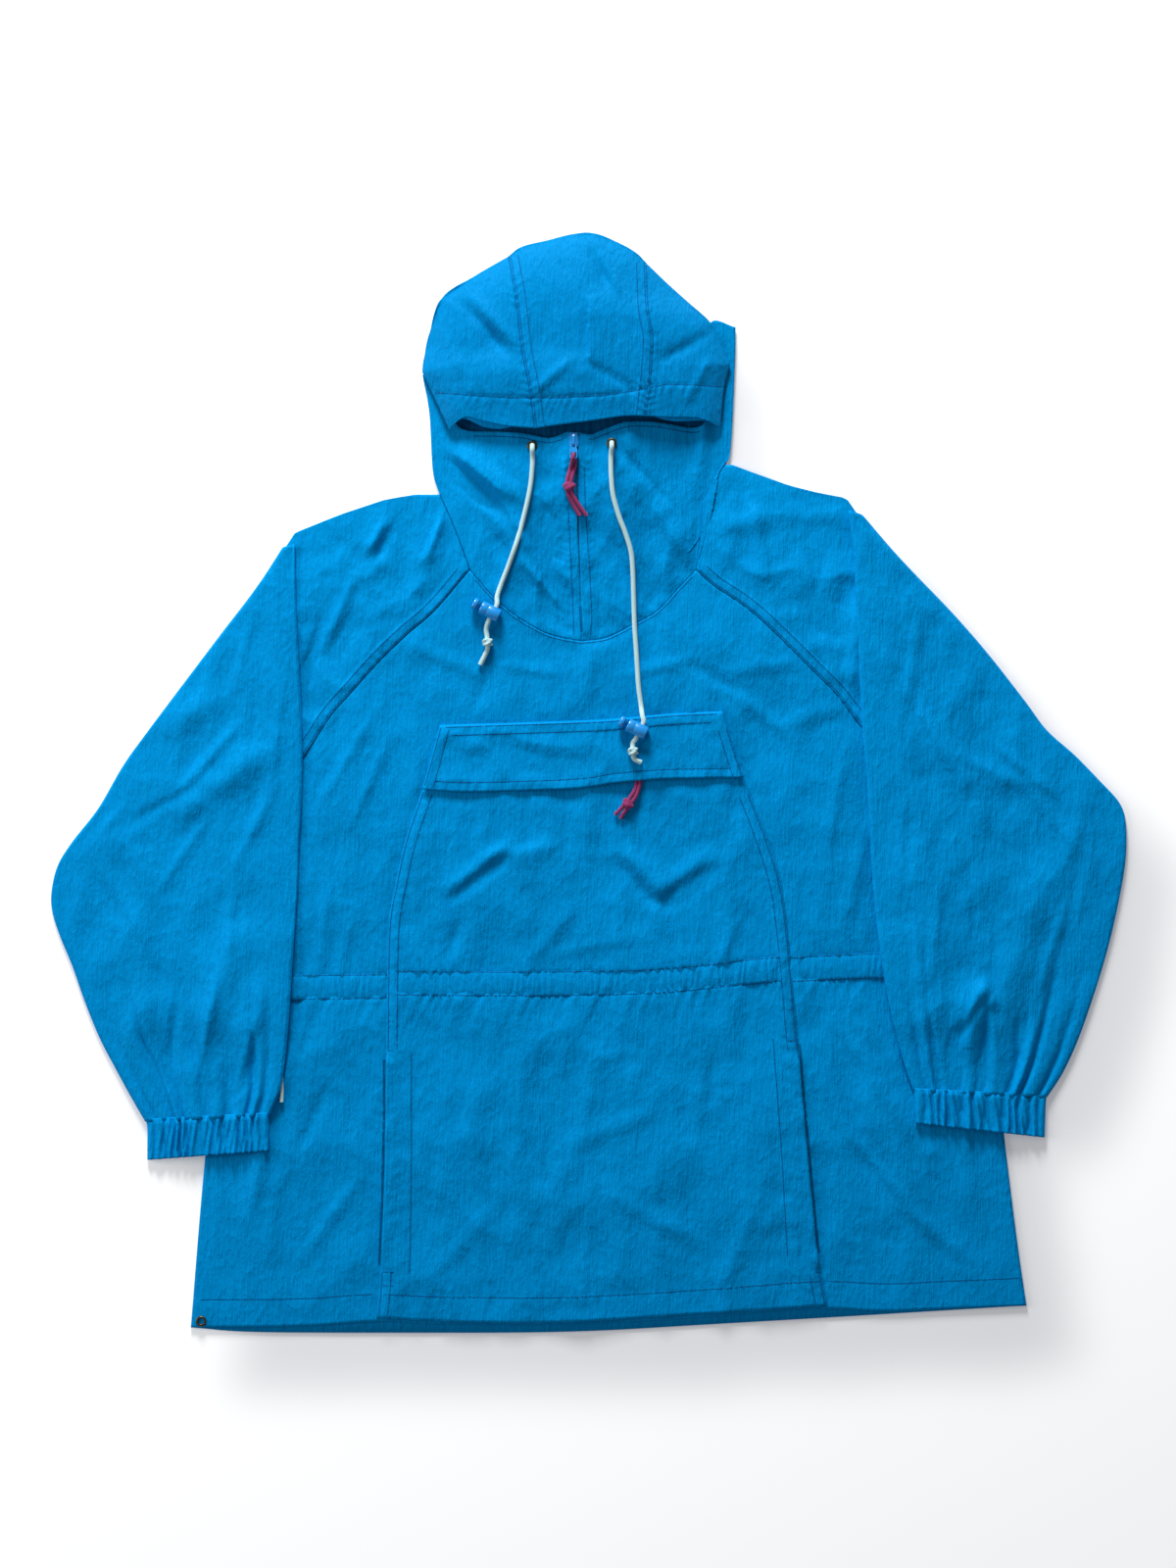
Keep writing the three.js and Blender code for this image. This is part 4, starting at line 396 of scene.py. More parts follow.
def hoodHeight(x, y):
    overSide = np.where(x > 0, 1 - smooth(y, 402, 430), 1 - smooth(y, 350, 378))
    edge = hood["edge"] + hood["overSide"] * overSide
    inside = 1 - np.exp(-nearest(hoodOutline, x, y)[0] / hood["reach"])
    drop = hood["brimDrop"] * (1 - smooth(y, 310, 345))
    corners = (
        4.5 * np.exp(-(((x + 112) / 20) ** 2) - ((y - 316) / 24) ** 2)
        + 2.5 * np.exp(-(((x - 104) / 18) ** 2) - ((y - 318) / 22) ** 2))
    height = edge + corners + (hood["crown"] - drop + relief(hoodFolds, x, y)) * inside
    detail = (
        wrinkles["hoodFine"] * (creased(x, y, 40, 31, 1.3) * 2 + crumple(x, y, 14, 8, 1.5))
        + 0.7 * streaks(x, y, 44) + 0.3 * crisp(x, y, 45))
    detail = detail + wrinkles["broad"] * relief(hoodCreases, x, y)
    seams = [spline(gussetSeamLeft, 8), spline(gussetSeamRight, 8)]
    onGusset = smooth(x, -62 + (372 - y) * 0.16, -60 + (372 - y) * 0.16) * (1 - smooth(x, 52, 54))
    detail = detail + pucker(x, y, seams, 8, 9, 0.7 * wrinkles["pucker"]) + onGusset * felled(x, y, seams)
    detail = (
        detail + pucker(x, y, [brimStitch], 8, 8, 0.9 * wrinkles["pucker"])
        - 0.5 * np.exp(-((nearest([brimStitch], x, y)[0] / 1.6) ** 2)))
    return height + detail * inside


pocket = {"pressed": 1.6, "pressReach": 6.5, "facing": 22, "mouth": (-424, -244)}


def pocketHeight(x, y):
    base = bodyBase(x, y)[0]
    detail = relief(pocketCreases, x, y)
    detail = (
        1.7 * detail + wrinkles["fine"] * (creased(x, y, 60, 41, 1.5) * 1.9 + crumple(x, y, 22, 17, 1.6))
        + streaks(x, y, 52) + crisp(x, y, 53))
    edges = [line * 0.975 + np.array([0.3, -2.0]) for line in pocketEdges]
    detail = detail + pucker(x, y, edges, 12, 12, 0.9 * wrinkles["pucker"])
    detail = detail + pucker(x, y, hemLine, 13, 10, 0.8 * wrinkles["pucker"])
    detail = detail + pucker(x, y, casingSeams, 20, 10, 1.9 * wrinkles["pucker"])
    d, s = nearest(pocketEdges, x, y)
    low, high = pocket["mouth"]
    opening = smooth(y, low, low + 10) * (1 - smooth(y, high, high + 10))
    sewnDown = (1 - opening) * (1 - smooth(d, 0, pocket["pressReach"])) * pocket["pressed"]
    band = (
        0.5 * (1 - smooth(d, cloth["twinRow"], cloth["twinRow"] + 2))
        + 0.22 * np.sin(2 * np.pi * s / 7.5 + 2 * np.sin(s / 21)) * np.exp(-(((d - 5.5) / 3) ** 2)))
    facing = (
        0.5 * opening * (1 - smooth(d, pocket["facing"], pocket["facing"] + 3))
        + 0.5 * opening * np.exp(-((d / 3) ** 2)))
    edgeWaves = 0.9 * opening * np.exp(-((d / 5) ** 2)) * np.sin(s / 11 + 2 * np.sin(s / 19))
    return (
        base + pocketLift + np.maximum(detail * np.clip(d / 14, 0, 1), -1.5) + band - sewnDown + facing
        + edgeWaves - underCasing(x, y))


casingCentre = px([(407.6, 990), (533, 991), (640, 989.4), (701.4, 985.7), (762.7, 978.7), (804, 975.6)])
casingLeft = outline((-309, -168), (-253, -167), (-172, -165.8))
casingRight = outline((175, -151.4), (249, -148), (338, -150))
casingCentre[0, 0], casingCentre[-1, 0] = -167, 167
sideCasings = [spline(casingLeft, 5) - np.array([0, 2.2]), spline(casingLeft, 5) - np.array([0, 19.6]),
    spline(casingRight, 5) - np.array([0, 2.2]), spline(casingRight, 5) - np.array([0, 19.6])]
casingSeams = [spline(casingCentre, 5) - np.array([0, 3.0]), spline(casingCentre, 5) - np.array([0, 19.0])]

flapLift = pocketLift + cloth["layGap"] + 1.0 + 0.4 + 1.2


# The pull's cord under the flap lifts it a little
def flapLump(x, y):
    return 2.4 * np.exp(-(((x - 44) / 26) ** 2) - ((y - 12) / 24) ** 2)


def flapHeight(x, y):
    base = bodyBase(x, y)[0]
    detail = (
        wrinkles["fine"] * (creased(x, y, 50, 51, 0.7) * 1.4 + crumple(x, y, 20, 5))
        + 0.7 * (streaks(x, y, 63) + crisp(x, y, 64)))
    hem = [spline(flapHem, 6) + np.array([0, 8.0]), spline(pocketTop, 6) - np.array([0, 4.0])]
    detail = detail + pucker(x, y, hem, 9, 10, 0.8 * wrinkles["pucker"])
    sides = nearest([spline(pocketLeft[:2], 4), spline(pocketRight[:2], 4), spline(pocketTop, 6)], x, y)[0]
    band = (
        0.45 * (1 - smooth(sides, cloth["twinRow"], cloth["twinRow"] + 2)) - 1.2 * (1 - smooth(sides, 0, 3.2)))
    return base + flapLift + flapLump(x, y) + np.maximum(detail * np.clip(sides / 8, 0.3, 1), -0.9) + band


def casingHeightOn(lift, table, waves):
    low, high = table[0, 0], table[-1, 0]

    def fullness(x):
        return 0.65 + 0.35 * np.sin(x / 17 + 2 * np.sin(x / 41))

    def height(x, y):
        base = bodyBase(x, y)[0]
        top = np.interp(x, spline(table)[:, 0], spline(table)[:, 1])
        across = np.clip((top - y) / casing["height"], 0, 1)
        ends = smooth(x, low, low + 7) * (1 - smooth(x, high - 7, high))
        bulge = np.sin(np.pi * np.clip((across - 0.1) / 0.78, 0, 1)) ** 0.7 * ends
        phase = 2 * np.pi * waves * (x - low) / (high - low)
        ruche = np.abs(np.cos(phase / 2 + np.sin(phase * 0.37) + 0.45 * np.sin(across * 5 + phase * 0.2)))
        return (
            base + lift - casing["sink"] - casing["endSink"] * (1 - ends) + casing["swell"] * bulge
            + casing["ruche"] * (ruche - 0.5) * (0.5 + 0.5 * bulge) * fullness(x)
            - casing["edgeSink"] * smooth(np.abs(across - 0.5), 0.4, 0.5))

    return height


print("height fields ready")


# Colours and materials
colours = {
    "nylon": "#0086C8",
    "nylonLight": "#0092D4",
    "nylonDark": "#0079BA",
    # painted shade: the body's nylon made darker for the hood
    "hoodNylonPaintedShade": "#0076B2",
    "shadowNylon": "#004E80",
    "thread": "#0080C0",
    "plastic": "#0C86D0",
    "cord": "#DDF0EE",
    "cordFleck": "#A5D0D2",
    "magenta": "#C0148A",
    "brass": "#6B6044",
    "floor": "#F7F7F7",
    "floorShade": "#D2D2D4",
}


def srgb(code):
    values = [int(code[i : i + 2], 16) / 255 for i in (1, 3, 5)]
    return [v / 12.92 if v <= 0.04045 else ((v + 0.055) / 1.055) ** 2.4 for v in values] + [1.0]


def addNode(tree, kind, inputs=None, **settings):
    node = tree.nodes.new(kind)
    for key, value in settings.items():
        setattr(node, key, value)
    for key, value in (inputs or {}).items():
        if isinstance(value, bpy.types.NodeSocket):
            tree.links.new(value, node.inputs[key])
        else:
            node.inputs[key].default_value = value
    return node


def newMaterial(name):
    material = bpy.data.materials.new(name)
    material.use_nodes = True
    tree = material.node_tree
    shader = tree.nodes["Principled BSDF"]
    place = addNode(tree, "ShaderNodeTexCoord").outputs["Object"]
    return material, tree, shader, place


# Crinkled nylon taffeta: a fine crosswise slub, a crushed grain and a dull sheen
def crinkledNylon(name, base, light, dark, roughness=0.5):
    material, tree, shader, place = newMaterial(name)
    slubSpace = addNode(tree, "ShaderNodeMapping", {"Vector": place, "Scale": (640, 46, 400)})
    slub = addNode(tree, "ShaderNodeTexNoise", {"Vector": slubSpace.outputs[0], "Scale": 1.0, "Detail": 3.0})
    crushSpace = addNode(tree, "ShaderNodeMapping", {"Vector": place, "Scale": (330, 120, 330)})
    crush = addNode(tree, "ShaderNodeTexNoise",
        {"Vector": crushSpace.outputs[0], "Scale": 1.0, "Detail": 4.0, "Roughness": 0.62})
    ridgeSpace = addNode(tree, "ShaderNodeMapping",
        {"Vector": place, "Scale": (120, 70, 120), "Rotation": (0, 0, 0.35)})
    ridges = addNode(tree, "ShaderNodeTexNoise",
        {"Vector": ridgeSpace.outputs[0], "Scale": 1.0, "Detail": 5.0, "Roughness": 0.55, "Gain": 1.6,
        "Offset": 0.9}, noise_type="RIDGED_MULTIFRACTAL")
    cloud = addNode(tree, "ShaderNodeTexNoise", {"Vector": place, "Scale": 9.0, "Detail": 2.0})
    tone = addNode(tree, "ShaderNodeValToRGB", {"Fac": slub.outputs["Fac"]})
    tone.color_ramp.elements[0].position = 0.32
    tone.color_ramp.elements[0].color = srgb(dark)
    tone.color_ramp.elements[1].position = 0.72
    tone.color_ramp.elements[1].color = srgb(light)
    mixed = addNode(tree, "ShaderNodeMix", {0: 0.6, 6: tone.outputs["Color"], 7: srgb(base)}, data_type="RGBA")
    faded = addNode(tree, "ShaderNodeHueSaturation", {"Color": mixed.outputs[2], "Saturation": 1.0})
    value = addNode(tree, "ShaderNodeMapRange", {"Value": cloud.outputs["Fac"], "To Min": 0.93, "To Max": 1.07})
    tree.links.new(value.outputs[0], faded.inputs["Value"])
    tree.links.new(faded.outputs[0], shader.inputs["Base Color"])
    rough = addNode(tree, "ShaderNodeMapRange",
        {"Value": slub.outputs["Fac"], "To Min": roughness - 0.06, "To Max": roughness + 0.12})
    tree.links.new(rough.outputs[0], shader.inputs["Roughness"])
    grain = addNode(tree, "ShaderNodeBump",
        {"Height": slub.outputs["Fac"], "Strength": 0.6, "Distance": 0.0011})
    crinkle = addNode(tree, "ShaderNodeBump",
        {"Height": crush.outputs["Fac"], "Strength": 0.5, "Distance": 0.002, "Normal": grain.outputs[0]})
    crumpled = addNode(tree, "ShaderNodeBump",
        {"Height": ridges.outputs["Fac"], "Strength": 0.17, "Distance": 0.0015, "Normal": crinkle.outputs[0]})
    tree.links.new(crumpled.outputs[0], shader.inputs["Normal"])
    shader.inputs["Specular IOR Level"].default_value = 0.08
    shader.inputs["Specular Tint"].default_value = srgb("#30B4F0")
    shader.inputs["Sheen Weight"].default_value = 0.04
    shader.inputs["Sheen Roughness"].default_value = 0.4
    shader.inputs["Sheen Tint"].default_value = srgb("#1098E0")
    return material


# Moulded plastic with a faint orange-peel and rubbed gloss
def mouldedPlastic(name, colour, roughness):
    material, tree, shader, place = newMaterial(name)
    peel = addNode(tree, "ShaderNodeTexNoise", {"Vector": place, "Scale": 420.0, "Detail": 2.0})
    bump = addNode(tree, "ShaderNodeBump",
        {"Height": peel.outputs["Fac"], "Strength": 0.12, "Distance": 0.0004})
    tree.links.new(bump.outputs[0], shader.inputs["Normal"])
    rub = addNode(tree, "ShaderNodeMapRange",
        {"Value": peel.outputs["Fac"], "To Min": roughness - 0.06, "To Max": roughness + 0.1})
    tree.links.new(rub.outputs[0], shader.inputs["Roughness"])
    shader.inputs["Base Color"].default_value = srgb(colour)
    shader.inputs["Coat Weight"].default_value = 0.6
    return material


# Braided polyester cord: crossing diagonal strands with a darker fleck
def braidedCord(name, colour, fleck, pitch):
    material, tree, shader, place = newMaterial(name)
    waves = []
    for angle in (0.9, -0.9):
        turned = addNode(tree, "ShaderNodeMapping", {"Vector": place, "Rotation": (0.3, 0, angle)})
        waves.append(addNode(tree, "ShaderNodeTexWave",
            {"Vector": turned.outputs[0], "Scale": pitch, "Distortion": 1.2}))
    braid = addNode(tree, "ShaderNodeMath", {0: waves[0].outputs["Fac"], 1: waves[1].outputs["Fac"]},
        operation="MULTIPLY")
    tone = addNode(tree, "ShaderNodeMix", {0: braid.outputs[0], 6: srgb(fleck), 7: srgb(colour)},
        data_type="RGBA")
    tree.links.new(tone.outputs[2], shader.inputs["Base Color"])
    bump = addNode(tree, "ShaderNodeBump", {"Height": braid.outputs[0], "Strength": 0.7, "Distance": 0.0006})
    tree.links.new(bump.outputs[0], shader.inputs["Normal"])
    shader.inputs["Roughness"].default_value = 0.75  # dull yarn
    shader.inputs["Sheen Weight"].default_value = 0.2
    return material


# Antique brass: dark in the hollows and brighter where it is rubbed
def agedBrass(name, colour):
    material, tree, shader, place = newMaterial(name)
    stain = addNode(tree, "ShaderNodeTexNoise", {"Vector": place, "Scale": 600.0, "Detail": 3.0})
    tone = addNode(tree, "ShaderNodeMix", {0: stain.outputs["Fac"], 6: srgb("#2E2A1E"), 7: srgb(colour)},
        data_type="RGBA")
    tree.links.new(tone.outputs[2], shader.inputs["Base Color"])
    rough = addNode(tree, "ShaderNodeMapRange", {"Value": stain.outputs["Fac"], "To Min": 0.5, "To Max": 0.3})
    tree.links.new(rough.outputs[0], shader.inputs["Roughness"])
    shader.inputs["Metallic"].default_value = 1.0
    return material


nylon = crinkledNylon("crinkledNylon", colours["nylon"], colours["nylonLight"], colours["nylonDark"])
# Painted shade: the hood takes the body's nylon made darker, for the shade it lies in
hoodNylonPaintedShade = crinkledNylon("hoodNylonPaintedShade", colours["hoodNylonPaintedShade"], colours["nylon"], "#006FAC")
shadowNylon = crinkledNylon("nylonInShadow", colours["shadowNylon"], colours["nylonDark"], "#043E63", 0.65)
# Painted shade for the seams and stitch rows: nylon pressed down by the stitches, shaded by the cloth beside it
paintedSeamShade = crinkledNylon("paintedSeamShade", "#005A94", "#0066A2", "#004C82", 0.6)
# Tone-on-tone polyester sewing thread
thread = braidedCord("sewingThread", colours["thread"], "#0D6FA4", 1500)
plastic = mouldedPlastic("mouldedPlastic", colours["plastic"], 0.28)
paleCord = braidedCord("paleBraid", colours["cord"], colours["cordFleck"], 260)
magentaCord = braidedCord("magentaBraid", colours["magenta"], "#6E0A3F", 260)
brass = agedBrass("agedBrass", colours["brass"])
print("materials ready")


pieceMeshes = {}
castPlans = []


# Meshes
def placed(name, data, material, body, smoothShade=True):
    data.materials.append(material)
    pieceMeshes[name] = data
    if smoothShade and hasattr(data, "polygons"):
        data.polygons.foreach_set("use_smooth", [True] * len(data.polygons))
    piece = bpy.data.objects.new(name, data)
    bpy.context.scene.collection.objects.link(piece)
    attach(piece, body)
    return piece


def meshOf(bm, name):
    mesh = bpy.data.meshes.new(name)
    bm.to_mesh(mesh)
    bm.free()
    return mesh


def gridMesh(name, surface, closed=False):
    rows, columns = surface.shape[:2]
    bm = bmesh.new()
    bmesh.ops.create_grid(bm, x_segments=columns - 1, y_segments=rows - 1, size=0.5)
    bm.verts.ensure_lookup_table()
    for vertex, point in zip(bm.verts, surface.reshape(-1, 3) * mm):
        vertex.co = point
    if closed:
        bmesh.ops.remove_doubles(bm, verts=bm.verts, dist=1e-6)
    return meshOf(bm, name)


def facingUp(mesh, face=0):
    if mesh.polygons[face].normal.z < 0:
        mesh.flip_normals()
    return mesh


# Cloth hangs its thickness below its visible face
def solidified(piece):
    modifier = piece.modifiers.new("thickness", "SOLIDIFY")
    modifier.thickness = cloth["thickness"] * mm
    modifier.offset = -1
    return piece


def layPanel(name, plan, height, material=nylon):
    castPlans.append(plan)
    z = height(plan[..., 0], plan[..., 1])
    mesh = facingUp(gridMesh(name, np.dstack([plan[..., 0], plan[..., 1], z])))
    piece = placed(name, mesh, material, "garment")
    solidified(piece)
    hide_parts(name)


# Cords come first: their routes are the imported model's
cords = {"draw": 4.2, "pull": 3.4, "waist": 3.4}


def flatHeight(x, y):
    base, inside = bodyBase(np.array(x, float), np.array(y, float))
    folds = np.maximum(relief(collarFolds, np.array(x, float), np.array(y, float)), -1.5)
    onPocket = y < 58 and y > -460 and abs(x) < 120
    if onPocket and y > -10:
        return float(base) + flapLift + float(flapLump(x, y))
    return float(base) + pocketLift if onPocket else float(base + folds * inside)


def laidOut(points, radius, clearance=0.6):
    route = []
    for x, y, lift in points:
        around = [flatHeight(x + 4 * math.cos(k * math.pi / 3), y + 4 * math.sin(k * math.pi / 3))
            for k in range(6)]
        route.append((x, y, max([flatHeight(x, y)] + around) + radius + clearance + lift))
    return route


def cordPiece(name, route, diameter, material, body="garment"):
    line = spline(np.array(route, float), 10)
    curve = bpy.data.curves.new(name, "CURVE")
    curve.dimensions = "3D"
    curve.bevel_depth = diameter / 2 * mm
    curve.bevel_resolution = 5
    curve.use_fill_caps = True
    run = curve.splines.new("POLY")
    run.points.add(len(line) - 1)
    for point, at in zip(run.points, line * mm):
        point.co = (*at, 1)
    piece = placed(name, curve, material, body)
    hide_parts(name)
    length = float(np.linalg.norm(np.diff(line, axis=0), axis=1).sum()) * mm
    return piece, length, [float(v) for v in line[0] * mm]


drawcords = {
    "left": {
        "eye": (-48.6, 291.4), "lock": (-84.4, 147.7), "turn": -27, "knot": (-87.6, 121.5),
        "path": [(-48.4, 281, 0.4), (-48.6, 272.9, 0), (-50.2, 256.7, 0), (-53.5, 240.4, 0), (-58.4, 220.9, 0),
                 (-63.3, 204.6, 0), (-69.8, 186.7, 0), (-76.2, 170.5, 0), (-79.2, 161, 1.6)],
        "tail": [(-88.6, 133, 1.8), (-88, 127.5, 1.6)], "end": [(-87.8, 115, 1.4), (-93.8, 102.2, 0)],
    },
    "right": {
        "eye": (20.1, 293.6), "lock": (42.8, 45.8), "turn": -25, "knot": (38.4, 27),
        "path": [(19.5, 283, 0.4), (19.4, 275, 0), (19.7, 264.8, 0), (21.3, 248.6, 0), (26.2, 230.8, 0),
                 (31.9, 216, 0), (36.8, 199.8, 0), (38.4, 183.5, 0), (39.2, 159.1, 0), (40, 134.7, 0),
                 (41.7, 110.3, 0), (43.3, 84.3, 0), (45.6, 66, 1), (46.6, 58, 2.4)],
        "tail": [(38.4, 34, 1.8)], "end": [(39.6, 20.6, 1.4), (45.5, 17.5, 0)],
    },
}


def turnedMesh(name, profile, place, direction, material, body="garment", segments=40, wobble=None):
    bm = bmesh.new()
    ring = [bm.verts.new((along, 0, radius)) for along, radius in profile]
    edges = [bm.edges.new(pair) for pair in zip(ring, ring[1:])]
    bmesh.ops.spin(bm, geom=ring + edges, cent=(0, 0, 0), axis=(1, 0, 0), angle=2 * math.pi, steps=segments,
        use_merge=True)
    bmesh.ops.remove_doubles(bm, verts=bm.verts, dist=1e-4)
    bmesh.ops.holes_fill(bm, edges=[edge for edge in bm.edges if edge.is_boundary], sides=segments)
    if wobble:
        for vertex in bm.verts:
            swell = 1 + wobble(vertex.co.x, math.atan2(vertex.co.y, vertex.co.z))
            vertex.co.y *= swell
            vertex.co.z *= swell
    spin = Vector(direction).to_track_quat("X", "Z").to_matrix()
    bmesh.ops.rotate(bm, verts=bm.verts, cent=(0, 0, 0), matrix=spin)
    return finished(bm, name, place, material, body)


def finished(bm, name, place, material, body):
    bmesh.ops.translate(bm, verts=bm.verts, vec=place)
    bmesh.ops.scale(bm, verts=bm.verts, vec=(mm, mm, mm))
    bmesh.ops.recalc_face_normals(bm, faces=bm.faces)
    piece = placed(name, meshOf(bm, name), material, body)
    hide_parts(name)
    return piece


def knotWobble(along, turn):
    return 0.13 * math.sin(3 * turn + along * 1.3) + 0.07 * math.sin(5 * turn - along * 2.1)


for side, cord in drawcords.items():
    turn = math.radians(cord["turn"])
    radius = cords["draw"] / 2
    centre = laidOut([(*cord["lock"], 0)], 6, 0.5)[0]
    axis = (math.cos(turn), math.sin(turn), 0)

    def through(distance):
        return (centre[0] - math.sin(turn) * distance + 1.6 * axis[0],
            centre[1] + math.cos(turn) * distance + 1.6 * axis[1], centre[2])

    knotCentre = laidOut([(*cord["knot"], 0)], radius, 2.9)[0]
    eyeTop = flatHeight(*cord["eye"])
    route = [(*cord["eye"], eyeTop + 0.8), (*cord["eye"], eyeTop + 3.4),
        (cord["eye"][0], cord["eye"][1] - 3.4, eyeTop + 6.2)]
    route += laidOut(cord["path"], radius) + [through(8), through(0), through(-8)]
    route += laidOut(cord["tail"], radius) + [knotCentre] + laidOut(cord["end"], radius)
    piece, length, start = cordPiece(f"drawcord_{side}", route, cords["draw"], paleCord)
    barrel = turnedMesh(
        f"cord_lock_{side}",
        [(-3.3, 4.3), (-10, 4.3), (-10, 5.2), (-9.7, 5.7), (-9.1, 6), (-4, 6), (-3.6, 5.8), (-3.2, 6), (7, 6),
        (7.8, 5.7), (8, 4.8), (8, 0.5)],
        centre, axis, plastic)
    out = 9 + 1 + 3 + 0.5
    head = tuple(centre[k] - out * axis[k] for k in range(3))
    button = turnedMesh(
        f"lock_button_{side}",
        [(5.8, 0.5), (5.8, 4), (0.2, 4), (0, 5.1), (-0.4, 5.4), (-3, 5.4), (-3.6, 5.1), (-4, 4.4), (-4.1, 0.5)],
        head, axis, plastic, body=f"button_{side}")
    before, after = cord["tail"][-1], cord["end"][0]
    along = (after[0] - before[0], after[1] - before[1], 0)
    tied = turnedMesh(
        f"cord_knot_{side}",
        [(-3.3, 2.7), (-3.1, 3.4), (-2.2, 4.2), (-0.9, 4.1), (0, 3.8), (0.9, 4.2), (2.2, 4.2), (3.1, 3.4),
        (3.3, 2.7)],
        knotCentre, along, paleCord, wobble=knotWobble)

tabPivot = (-13, 293.8, 18.785)
tilt = math.radians(8)
eye = (tabPivot[0], tabPivot[1] - 10.8 * math.cos(tilt), tabPivot[2] + 10.8 * math.sin(tilt))
pullRun = [(-4.5, 231, 0, 3), (-10, 239, 0, 2.4), (-15.6, 249, 1.3, 1.8), (-16.6, 256, 1.9, 1.75),
    (-16.3, 263, 1.5, 1.75), (-14, 271, 0, 1.7)]


def pullStrand(side):
    laid = laidOut([p[:3] for p in pullRun], 1.5)
    return [(x + side * p[3], y, z) for (x, y, z), p in zip(laid, pullRun)]


bar = eye[1] - 2.6
pullRoute = pullStrand(-1) + [
    (eye[0] - 1, bar - 2.6, eye[2] + 1.9), (eye[0] - 0.5, bar + 0.6, eye[2] + 2.9),
    (eye[0], eye[1] + 0.6, eye[2] + 0.5),
    (eye[0] + 0.5, bar + 0.2, eye[2] - 2.3), (eye[0] + 1.3, bar - 3.4, eye[2] - 2.9)] + pullStrand(1)[::-1]
zipPull, pullLength, pullStart = cordPiece("zip_pull", pullRoute, cords["pull"], magentaCord,
    "tab")


def overhand(name, place, turn, body):
    bm = bmesh.new()
    bmesh.ops.create_uvsphere(bm, u_segments=30, v_segments=18, radius=1)
    for vertex in bm.verts:
        around = math.atan2(vertex.co.y, vertex.co.x)
        lobes = (
            1 + 0.12 * math.sin(2 * around + 4 * vertex.co.z) + 0.07 * math.sin(5 * around - 2 * vertex.co.z))
        vertex.co = (5.2 * vertex.co.x * lobes, 4.4 * vertex.co.z, 3.3 * vertex.co.y * lobes)
    bmesh.ops.rotate(bm, verts=bm.verts, cent=(0, 0, 0), matrix=Matrix.Rotation(turn, 3, "Z"))
    return finished(bm, name, place, magentaCord, body)


neckKnot = overhand("zip_pull_knot", (-16.6, 256, 19.027), 0.1, "tab")

pocketRun = [(44, 5.8, 1.7, 0), (43.4, 1, 1.7, 0), (41.8, -6, 1.7, 0.3), (38.6, -12.6, 1.75, 1.4),
    (34, -18.5, 1.75, 1.9), (29.4, -24.4, 2, 1.3), (25.5, -29.5, 2.8, 0)]


def pocketStrand(side):
    route = []
    for x, y, apart, lift in pocketRun:
        base = float(bodyBase(np.array(x, float), np.array(y, float))[0]) + pocketLift + 0.4 + 1.5
        route.append((x + side * apart * 0.86, y - side * apart * (0.6 if y < -8 else 0), base + 0.3 + lift))
    return route


pocketPull, pocketLength, pocketStart = cordPiece("pocket_pull", pocketStrand(-1)[::-1] + pocketStrand(1),
    cords["pull"], magentaCord)
pocketKnot = overhand("pocket_pull_knot", (34, -18.5, 10.96), math.radians(-38), "garment")

waistRoute = laidOut([(-272, -193, 0), (-271, -215, 0), (-268, -240, 0), (-266, -262, 0), (-266, -277, 0)],
    1.7, 0.35)
waistCord, waistLength, waistStart = cordPiece("waist_cord", waistRoute, cords["waist"], paleCord)
print("cords ready")

# Camera: straight above, framed as the photograph is
studio = {
    "lens": 100, "sensor": 36,
    "key": {"place": (-0.4, 2.65, 1.15), "size": 0.8, "power": 122},
    "fill": {"place": (-2.3, 0.2, 1.2), "size": 1.2, "power": 26},
    "world": 0.27,
}
camera = bpy.data.objects.new("camera", bpy.data.cameras.new("camera"))
bpy.context.scene.collection.objects.link(camera)
camera.data.lens = studio["lens"]
camera.data.sensor_width = studio["sensor"]
camera.data.sensor_fit = "AUTO"
camera.data.clip_end = 20
camera.location = (-0.5 * pixel * mm, -1.5 * pixel * mm, 1600 * pixel * mm * studio["lens"] / studio["sensor"]
    + 0.006)
bpy.context.scene.camera = camera
bpy.context.scene.render.resolution_x = 1200
bpy.context.scene.render.resolution_y = 1600
bpy.context.scene.view_settings.view_transform = "Standard"

# Body panels
topLine = resample(joinedLine(raglanLeft, neckLeft, neckRight, raglanRight), 226)
frontPlan = patch(topLine, evenly(frontHem, 226), evenly(sideLeft, 196), evenly(sideRight, 196))
layPanel("front_panel", frontPlan, frontHeight)
backNeck = outline((-103, 185), (-107, 214), (-3, 214), (97, 214), (93, 185))
backLine = resample(np.vstack([spline(raglanLeft), backNeck[1:], spline(raglanRight)[1:]]), 60)
backPlan = patch(backLine, evenly(backHem, 60), evenly(sideLeft, 40), evenly(sideRight, 40))
layPanel("back_panel", backPlan, lambda x, y: 1.15 + 0.05 * np.sin(x / 9))
pocketPlan = patch(evenly(pocketTop, 148), evenly(pocketHem, 148), evenly(pocketLeft, 188),
    evenly(pocketRight, 188), 0)
layPanel("pocket_panel", pocketPlan, pocketHeight)
flapTable = pocketTop - np.array([0, 0.6])
flapPlan = patch(evenly(flapTable, 130), evenly(flapHem, 130),
    resample(np.array([flapTable[0], flapHem[0]]), 34), resample(np.array([flapTable[-1], flapHem[-1]]), 34), 0)
layPanel("pocket_flap", flapPlan, flapHeight)
for name, table, lift, waves in (
    ("waist_casing_left", casingLeft, pocketLift, 16),
    ("waist_casing_centre", casingCentre, pocketLift * 2, 42),
    ("waist_casing_right", casingRight, pocketLift, 18)):
    count = waves * 7
    line = evenly(table, count)
    drop = np.linspace(0, casing["height"], 12)[:, None, None]
    plan = line[None] - drop * np.array([0, 1.0])
    layPanel(name, plan, casingHeightOn(lift, table, waves))
print("body ready")

